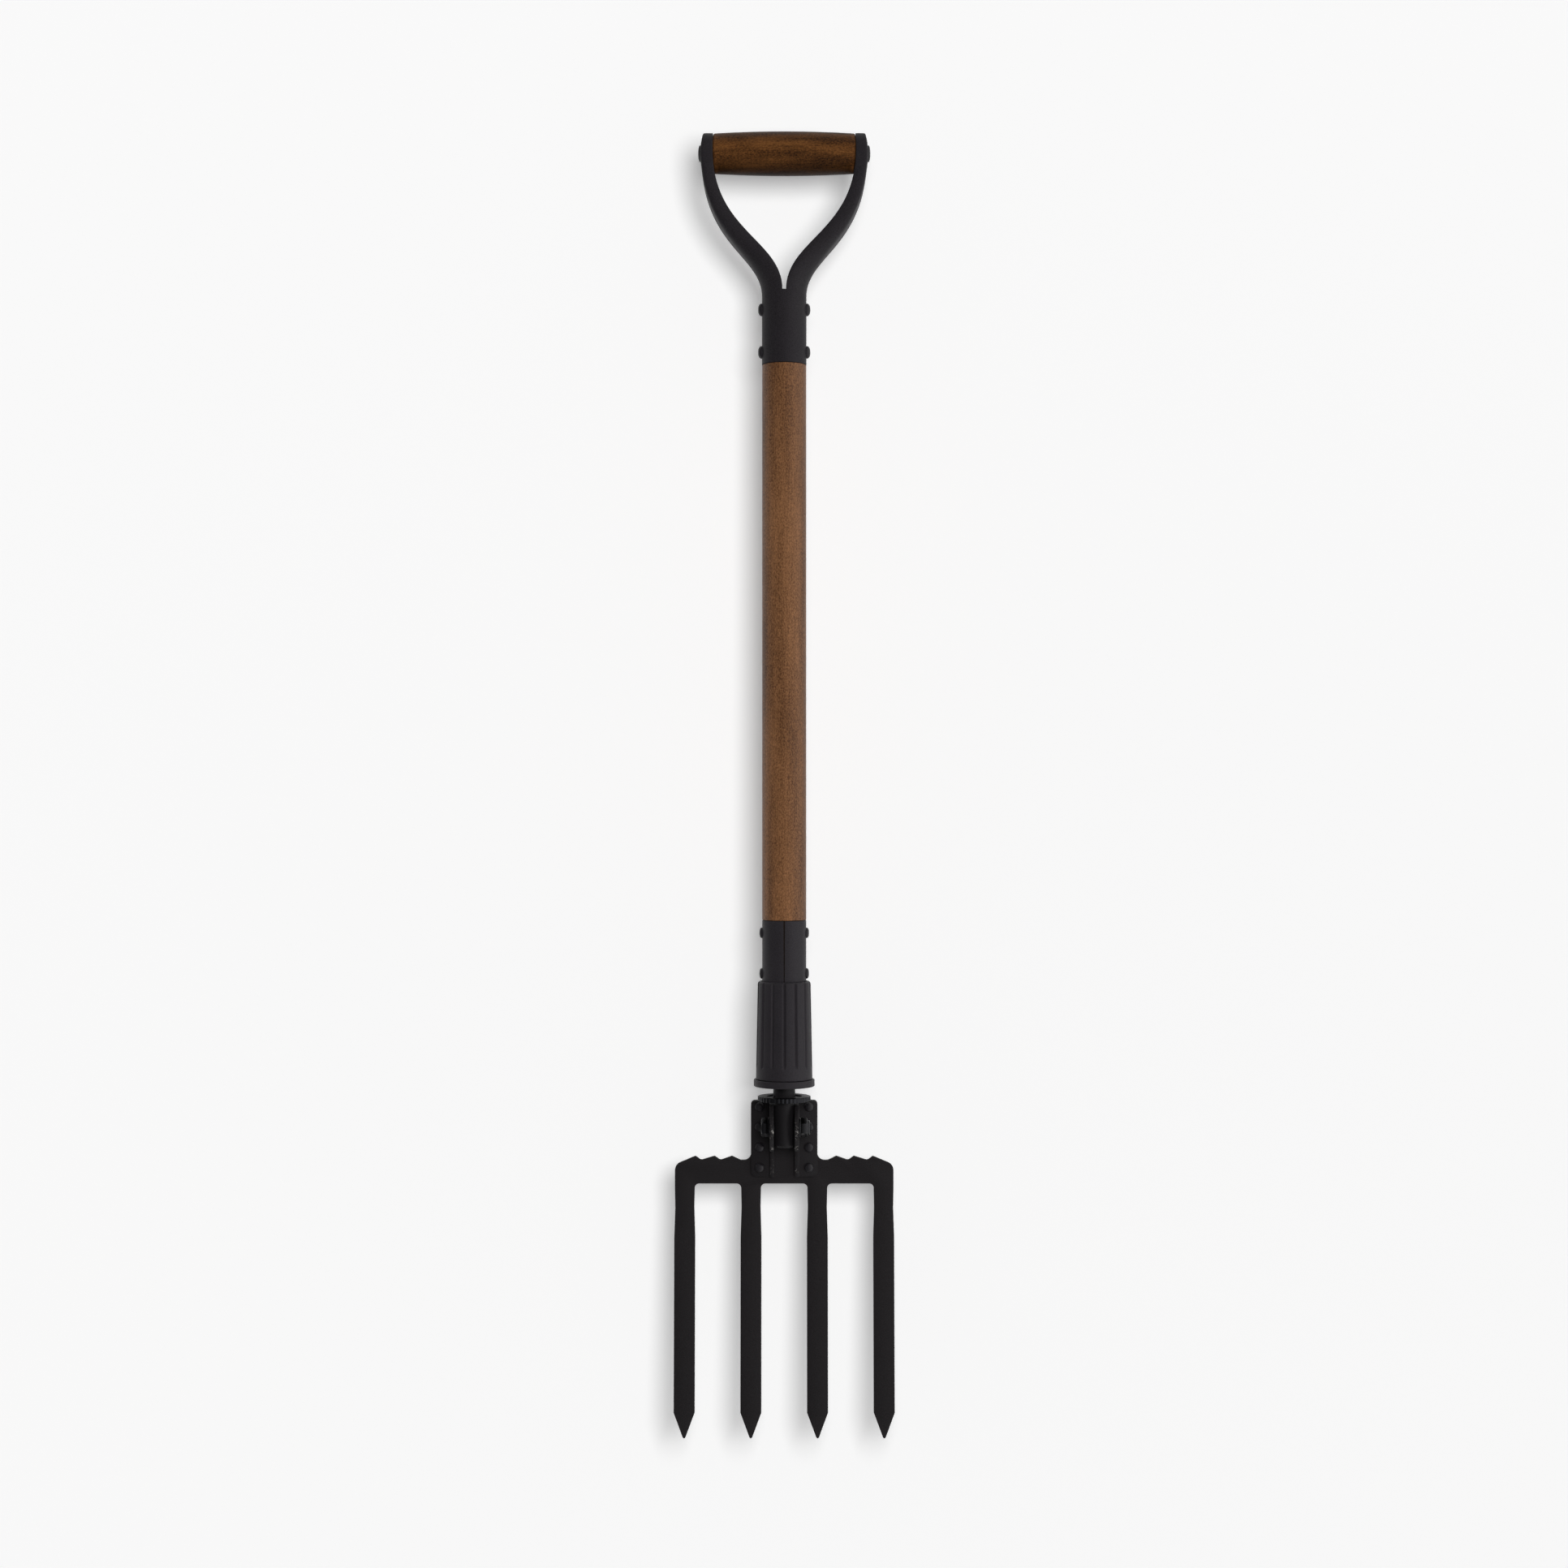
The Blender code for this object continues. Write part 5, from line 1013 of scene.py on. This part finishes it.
def ear_blank(name, side):
    """Steel angle trimmed to the ear's side view and to the flange's plan."""
    far = 40.0 * MM
    section = rounded([(EAR_INNER, far, 0.0), (EAR_INNER, FLANGE_BACK, 4.1 * MM),
                       (far, FLANGE_BACK, 0.0), (far, FLANGE_FRONT, 0.0),
                       (EAR_OUTER, FLANGE_FRONT, 1.0 * MM), (EAR_OUTER, far, 0.0)], 8)
    item = as_object(name, punch([(side * point.x, -60.0 * MM, point.y) for point in section],
                                 (0.0, 100.0 * MM, 0.0)))
    flat_half = EAR_APOTHEM * math.tan(math.radians(22.5))
    rib = FLANGE_FRONT + 1.8 * MM
    view = rounded([
        (30.0 * MM, -40.0 * MM, 0.0), (30.0 * MM, flat_half - 12.4 * MM, 0.0),
        (flat_half, EAR_APOTHEM, 0.5 * MM), (-flat_half, EAR_APOTHEM, 0.5 * MM),
        (-EAR_APOTHEM, flat_half, 0.5 * MM), (-EAR_APOTHEM, rib, 1.8 * MM),
        (-60.0 * MM, rib, 0.0), (-60.0 * MM, -40.0 * MM, 0.0)])
    plan = rounded([(2.0 * MM, FLANGE_FOOT, 0.0), (2.0 * MM, EAR_APOTHEM, 0.0),
                    (FLANGE_EDGE, EAR_APOTHEM, 3.0 * MM), (FLANGE_EDGE, FLANGE_FOOT, 4.0 * MM)])
    shape_with(item, punch([(0.0, up, height) for up, height in view],
                           (side * 50.0 * MM, 0.0, 0.0)), "INTERSECT")
    shape_with(item, punch([(side * x, up, -50.0 * MM) for x, up in plan],
                           (0.0, 0.0, 100.0 * MM)), "INTERSECT")
    shape_with(item, across(bar(BOLT_HOLE, 0.0, side * 20.0 * MM, 48)), "DIFFERENCE")
    break_edges(item, 0.35 * MM)
    return item


def slice_along(item, places):
    """Cut a mesh across at many places, so that paint can change along it."""
    bm = bmesh.new()
    bm.from_mesh(item.data)
    for place in places:
        bmesh.ops.bisect_plane(bm, geom=[*bm.verts, *bm.edges, *bm.faces],
                               plane_co=(0.0, place * MM, 0.0), plane_no=(0.0, 1.0, 0.0))
    bm.to_mesh(item.data)
    bm.free()


def ear_rub(point, normal):
    """Rims and edges are rubbed, most beside the pivot and at the rib's corner. Faces aren't."""
    if point.z < FLANGE_FRONT + 0.7 * MM or abs(normal.x) > 0.97:
        return 0.2
    rub = 0.34 if abs(point.x) > 9.4 * MM else 0.38
    for middle, reach, more in ((-1.5, 6.5, 0.15), (-14.5, 3.0, 0.16), (-37.0, 5.0, 0.12)):
        rub += more * max(0.0, 1.0 - abs(point.y / MM - middle) / reach)
    return rub


for side, label in ((-1.0, "left"), (1.0, "right")):
    ear = ear_blank(f"{label}_ear", side)
    slice_along(ear, range(-41, 18))
    paint(ear, "rub", ear_rub)
    finished(ear, "head", coat_ears, [f"{label}_bracket"])

# %% [markdown]
# ## Fork plate
# Crossbar, tang and tines are cut from one steel plate, and the tines are then bent a little
# away from its back. The crossbar's outline is one list of corners. Each tine grows from an edge
# of it by drawing that edge out from station to station, which lets the width and the bend
# change on the way. Last, the plate gets its thickness, its broken edges and its rivet holes.

# %% Fork plate outline
CROSSBAR_FOOT = 48.1 * MM
CROSSBAR_TOP = -29.7 * MM
TOOTH_TOP = -26.5 * MM
TEETH = ((0.139, 0.2495), (0.403, 0.48), (0.657, 0.73))
GAP_CORNER = 3.6 * MM
TINE_PITCH = 52.2 * MM
ROOT_HALF = 7.775 * MM
TINE_CENTRES = [TINE_PITCH * (index - 1.5) for index in range(4)]
TINE_WIDTHS = [(51.7, 15.55), (67.0, 14.95), (90.0, 16.4), (225.2, 16.4), (243.8, 2.36),
               (244.8, 0.8)]
BEND_START = 60.0 * MM
BEND_RUN = 14.0 * MM
PLATE_THICKNESS = 4.5 * MM


def crossbar():
    """Corners of the plate above the tines, clockwise from the tang's right corner."""
    right = [(FLANGE_EDGE, EAR_APOTHEM, 3.0 * MM), (FLANGE_EDGE, CROSSBAR_TOP, 5.5 * MM)]
    end = 1.5 * TINE_PITCH + ROOT_HALF
    for valley, peak in TEETH:
        right.append((FLANGE_EDGE + (end - FLANGE_EDGE) * valley, CROSSBAR_TOP, 3.0 * MM))
        right.append((FLANGE_EDGE + (end - FLANGE_EDGE) * peak, TOOTH_TOP, 0.5 * MM))
    right.append((end, -33.3 * MM, 6.5 * MM))
    left = [(-x, up, radius) for x, up, radius in reversed(right)]
    bottom = []
    root = -CROSSBAR_FOOT - GAP_CORNER
    for index, centre in reversed(list(enumerate(TINE_CENTRES))):
        bottom += [(centre + ROOT_HALF, root, 0.0), (centre - ROOT_HALF, root, 0.0)]
        if index:
            bottom += [(centre - ROOT_HALF, -CROSSBAR_FOOT, GAP_CORNER),
                       (TINE_CENTRES[index - 1] + ROOT_HALF, -CROSSBAR_FOOT, GAP_CORNER)]
    return rounded(right + bottom + left, 8)


def tine_lift(down):
    """How far the bend has raised a tine at a place below the pivot."""
    run = max(0.0, down - BEND_START)
    bent = min(run, BEND_RUN)
    slope = math.tan(math.radians(5.0))
    return slope * bent ** 2 / (2.0 * BEND_RUN) + slope * (run - bent)


def tine_stations():
    """Places down a tine with its half width there, closer together in the bend."""
    bend = {60.0, 62.0, 64.0, 66.0, 68.0, 70.0, 72.0, 74.0}
    for place in sorted(bend | {place for place, _ in TINE_WIDTHS[1:]}):
        for (low, low_width), (high, high_width) in zip(TINE_WIDTHS, TINE_WIDTHS[1:]):
            if low < place <= high:
                width = low_width + (high_width - low_width) * (place - low) / (high - low)
                yield place * MM, width * MM / 2.0


print("outline:", len(crossbar()), "points; each tine:", len(list(tine_stations())), "stations")

# %% Fork plate
plate_bm = bmesh.new()
outline = [plate_bm.verts.new((point.x, point.y, PLATE_FRONT)) for point in crossbar()]
plate_bm.faces.new(outline)
for centre in TINE_CENTRES:
    ends = [vertex for vertex in outline
            if abs(abs(vertex.co.x - centre) - ROOT_HALF) < 0.03 * MM
            and abs(vertex.co.y + CROSSBAR_FOOT + GAP_CORNER) < 0.03 * MM]
    edge = plate_bm.edges.get(ends)
    for place, half in tine_stations():
        drawn_out = bmesh.ops.extrude_edge_only(plate_bm, edges=[edge])["geom"]
        edge = next(item for item in drawn_out if isinstance(item, bmesh.types.BMEdge)
                    and all(vertex in drawn_out for vertex in item.verts))
        for vertex in edge.verts:
            vertex.co = (centre + math.copysign(half, vertex.co.x - centre), -place,
                         PLATE_FRONT + tine_lift(place))
thick = bmesh.ops.extrude_face_region(plate_bm, geom=list(plate_bm.faces))["geom"]
bmesh.ops.translate(plate_bm, vec=(0.0, 0.0, -PLATE_THICKNESS),
                    verts=[item for item in thick if isinstance(item, bmesh.types.BMVert)])
plate = as_object("four_tine_plate", plate_bm)
break_edges(plate, 0.5 * MM, 3, 50.0)

plate_back = PLATE_FRONT - PLATE_THICKNESS
countersunk = [(0.0, plate_back - MM), (3.9 * MM, plate_back - MM),
               (3.9 * MM, plate_back + 0.2 * MM), (2.7 * MM, plate_back + 1.4 * MM),
               (2.7 * MM, PLATE_FRONT + MM), (0.0, PLATE_FRONT + MM)]
for side in (-1.0, 1.0):
    for number in range(4):
        hole = upright(lathe(countersunk, 40))
        up = EAR_RIVET_TOP - EAR_RIVET_PITCH * number
        bmesh.ops.translate(hole, verts=hole.verts, vec=(side * EAR_RIVET_SIDE, up, 0.0))
        shape_with(plate, hole, "DIFFERENCE")
finished(plate, "head", coat_plate, ["fork_plate"])

# %% [markdown]
# ## Pivot bolt
# A hexagon bolt, two washers and a locking nut hold the head on the stem. A real hexagon head is
# turned on its end, which leaves curved edges where the cone meets the flats. Trimming a
# hexagonal bar with a turned shape gives just that. The nut has a smooth collar that grips the
# thread, and the bolt's end stands out of it by one turn of thread.

# %% Bolt head, nut and washers
ACROSS_FLATS = 13.0 * MM
THREAD_PITCH = 1.25 * MM
THREAD_DEPTH = 0.55 * MM
THREAD_CHAMFER = 0.6 * MM


def hexagon(name, low, high):
    """A hexagonal bar along Y with its outer end turned."""
    corner = ACROSS_FLATS / math.sqrt(3.0)
    ring = [(corner * math.cos(math.tau * turn / 6.0), corner * math.sin(math.tau * turn / 6.0))
            for turn in range(6)]
    item = as_object(name, loft([[(x, place, z) for x, z in ring] for place in (low, high)]))
    way = math.copysign(1.0, high - low)
    shape_with(item, lathe([(0.0, low - way * MM), (9.0 * MM, low - way * MM),
                            (9.0 * MM, high - way * 1.75 * MM), (6.1 * MM, high),
                            (0.0, high)]), "INTERSECT")
    return item


def threaded(low, high):
    """A threaded bar along Y: each point's radius follows the helix."""
    facets = 48
    rings = []
    levels = int((high - low) / (0.1 * MM))
    for level in range(levels + 1):
        place = low + (high - low) * level / levels
        ends = min(1.0, (high - place) / THREAD_CHAMFER)
        ring = []
        for turn in range(facets):
            phase = (place / THREAD_PITCH + turn / facets) % 1.0
            depth = THREAD_DEPTH * (1.0 - abs(2.0 * phase - 1.0))
            reach = BOLT_RADIUS - max(depth, THREAD_CHAMFER * (1.0 - ends))
            ring.append(round_point(reach, place, math.tau * turn / facets))
        rings.append(ring)
    return loft(rings)


HEAD_SEAT = -13.0 * MM
bolt = hexagon("hexagon_bolt", HEAD_SEAT, HEAD_SEAT - 4.8 * MM)
shape_with(bolt, bar(BOLT_RADIUS, HEAD_SEAT - 0.3 * MM, 18.0 * MM, 48), "UNION")
shape_with(bolt, threaded(17.0 * MM, 21.1 * MM), "UNION")
break_edges(bolt, 0.12 * MM, 1, 50.0)
bolt.data.transform(Matrix.Rotation(-math.pi / 2.0, 4, "Z"))
finished(bolt, "head", steel_black, ["pivot_bolt"])

nut = hexagon("locking_nut", 13.0 * MM, 18.2 * MM)
shape_with(nut, lathe(rounded([(0.0, 17.9 * MM, 0.0), (5.7 * MM, 17.9 * MM, 0.0),
                               (5.7 * MM, 19.8 * MM, 0.7 * MM), (0.0, 19.8 * MM, 0.0)],
                              closed=False)), "UNION")
shape_with(nut, bar(BOLT_HOLE, 12.0 * MM, 21.0 * MM, 48), "DIFFERENCE")
break_edges(nut, 0.2 * MM, 2, 25.0)
nut.data.transform(Matrix.Rotation(-math.pi / 2.0, 4, "Z"))
finished(nut, "head", steel_nut, ["pivot_nut"])

for side, name, node, steel in ((-1.0, "head_washer", "pivot_washer_head", steel_black),
                                (1.0, "nut_washer", "pivot_washer_nut", steel_nut)):
    near, far = side * 11.5 * MM, side * 12.7 * MM
    washer = as_object(name, across(lathe(rounded([
        (BOLT_HOLE, near, 0.1 * MM), (7.6 * MM, near, 0.2 * MM),
        (7.6 * MM, far, 0.2 * MM), (BOLT_HOLE, far, 0.1 * MM)], 3), 64, closed=True)))
    finished(washer, "head", steel, [node])

# %% [markdown]
# ## Studio
# The picture was taken from straight above over a seamless pale table, and the tool's shadow is
# wide, soft and alike from the grip to the tines. One round softbox beside the camera gives such
# a shadow when the table lies some way below the tool. On its back the tool would rest on its
# grip and on the upper edge of its plate, so the table slopes by a little more than one degree.
#
# A softbox lights the middle of a table more than its rim. In the picture the table is even, so
# its material adds a little light of its own, by just what the softbox lacks at each place.
#
# The room has three strengths of one white: what the camera sees beside the table, what shiny
# surfaces mirror, brighter on one side of the tool, and a faint fill for all the rest.

# %% Lights
LIGHT_PLACE = Vector((0.214, 0.222, 1.985))
LIGHT_POWER = 29.0
lamp = bpy.data.lights.new("round_softbox", "AREA")
lamp.shape = "DISK"
lamp.size = 0.59
lamp.energy = LIGHT_POWER
softbox = bpy.data.objects.new("round_softbox", lamp)
softbox.location = LIGHT_PLACE
softbox.visible_glossy = False
bpy.context.scene.collection.objects.link(softbox)

SEEN, FILL = 0.86, 0.08
world = bpy.data.worlds.new("pale_room")
world.use_nodes = True
room = world.node_tree
path = add(room, "ShaderNodeLightPath")
incoming = add(room, "ShaderNodeNewGeometry")["Incoming"]
from_side = add(room, "ShaderNodeSeparateXYZ", {"Vector": incoming})["X"]
mirrored = ramp(room, from_side, 0.2, -0.8, 0.25, 2.2)
lighting = add(room, "ShaderNodeMix", {
    "Factor": path["Is Glossy Ray"], "A": FILL, "B": mirrored})["Result"]
strength = add(room, "ShaderNodeMix", {
    "Factor": path["Is Camera Ray"], "A": lighting, "B": SEEN})["Result"]
feed(room, room.nodes["Background"], {"Strength": strength, "Color": (1.0, 1.0, 1.0, 1.0)})
bpy.context.scene.world = world
bpy.context.scene.view_settings.view_transform = "Standard"
print("softbox at", [round(value, 3) for value in LIGHT_PLACE], "of", LIGHT_POWER, "W")

# %% Table
REST_LOW = (-0.24635, 0.0)
REST_HIGH = (0.49185, 0.0156)
LIFT = 70.0 * MM
TABLE_REACH = 6.0
TABLE_WHITE = 0.868
FLOOR_GLOW = 0.273
slope = (REST_HIGH[1] - REST_LOW[1]) / (REST_HIGH[0] - REST_LOW[0])
table_bm = bmesh.new()
table_bm.faces.new([
    table_bm.verts.new((x * TABLE_REACH, y * TABLE_REACH,
                        (y * TABLE_REACH - REST_LOW[0]) * slope - LIFT))
    for x, y in ((-1.0, -1.0), (1.0, -1.0), (1.0, 1.0), (-1.0, 1.0))])
table = as_object("table", table_bm)
paper, paper_tree, paper_shader, paper_where = new_material(
    "lit_table", Roughness=0.9, Specular_IOR_Level=0.0, Emission_Strength=1.0,
    Base_Color=(TABLE_WHITE, TABLE_WHITE, TABLE_WHITE, 1.0))
light_height = LIGHT_PLACE.z + LIFT
brightest = TABLE_WHITE * LIGHT_POWER / (math.pi * light_height) ** 2
beside_light = add(paper_tree, "ShaderNodeVectorMath", {0: paper_where, 1: LIGHT_PLACE},
                   operation="SUBTRACT")[0]
slant = add(paper_tree, "ShaderNodeVectorMath", {
    0: beside_light, 1: (1.0 / light_height, 1.0 / light_height, 0.0)}, operation="MULTIPLY")[0]
squared = add(paper_tree, "ShaderNodeVectorMath", {0: slant, 1: slant},
              operation="DOT_PRODUCT")["Value"]
falloff = calculate(paper_tree, "POWER", calculate(paper_tree, "ADD", squared, 1.0), -2.0)
own_light = calculate(paper_tree, "MULTIPLY_ADD", falloff, -brightest, brightest + FLOOR_GLOW)
feed(paper_tree, paper_shader, {
    "Emission Color": scaled(paper_tree, (1.0, 1.0, 1.0), own_light)})
table.data.materials.append(paper)
print("table slopes by", round(math.degrees(math.atan(slope)), 2), "degrees; the softbox gives it",
      round(brightest, 3))

# %% Camera
camera = bpy.data.objects.new("camera", bpy.data.cameras.new("camera"))
camera.data.sensor_width = 36.0
camera.data.lens = 57.76
camera.data.clip_start = 0.05
camera.location = (-0.00015, 0.00265, 1.9855)
camera.rotation_euler = (0.0, 0.0, 0.0)
bpy.context.scene.collection.objects.link(camera)
bpy.context.scene.camera = camera
print("camera looks down from", round(camera.location.z, 3), "m")
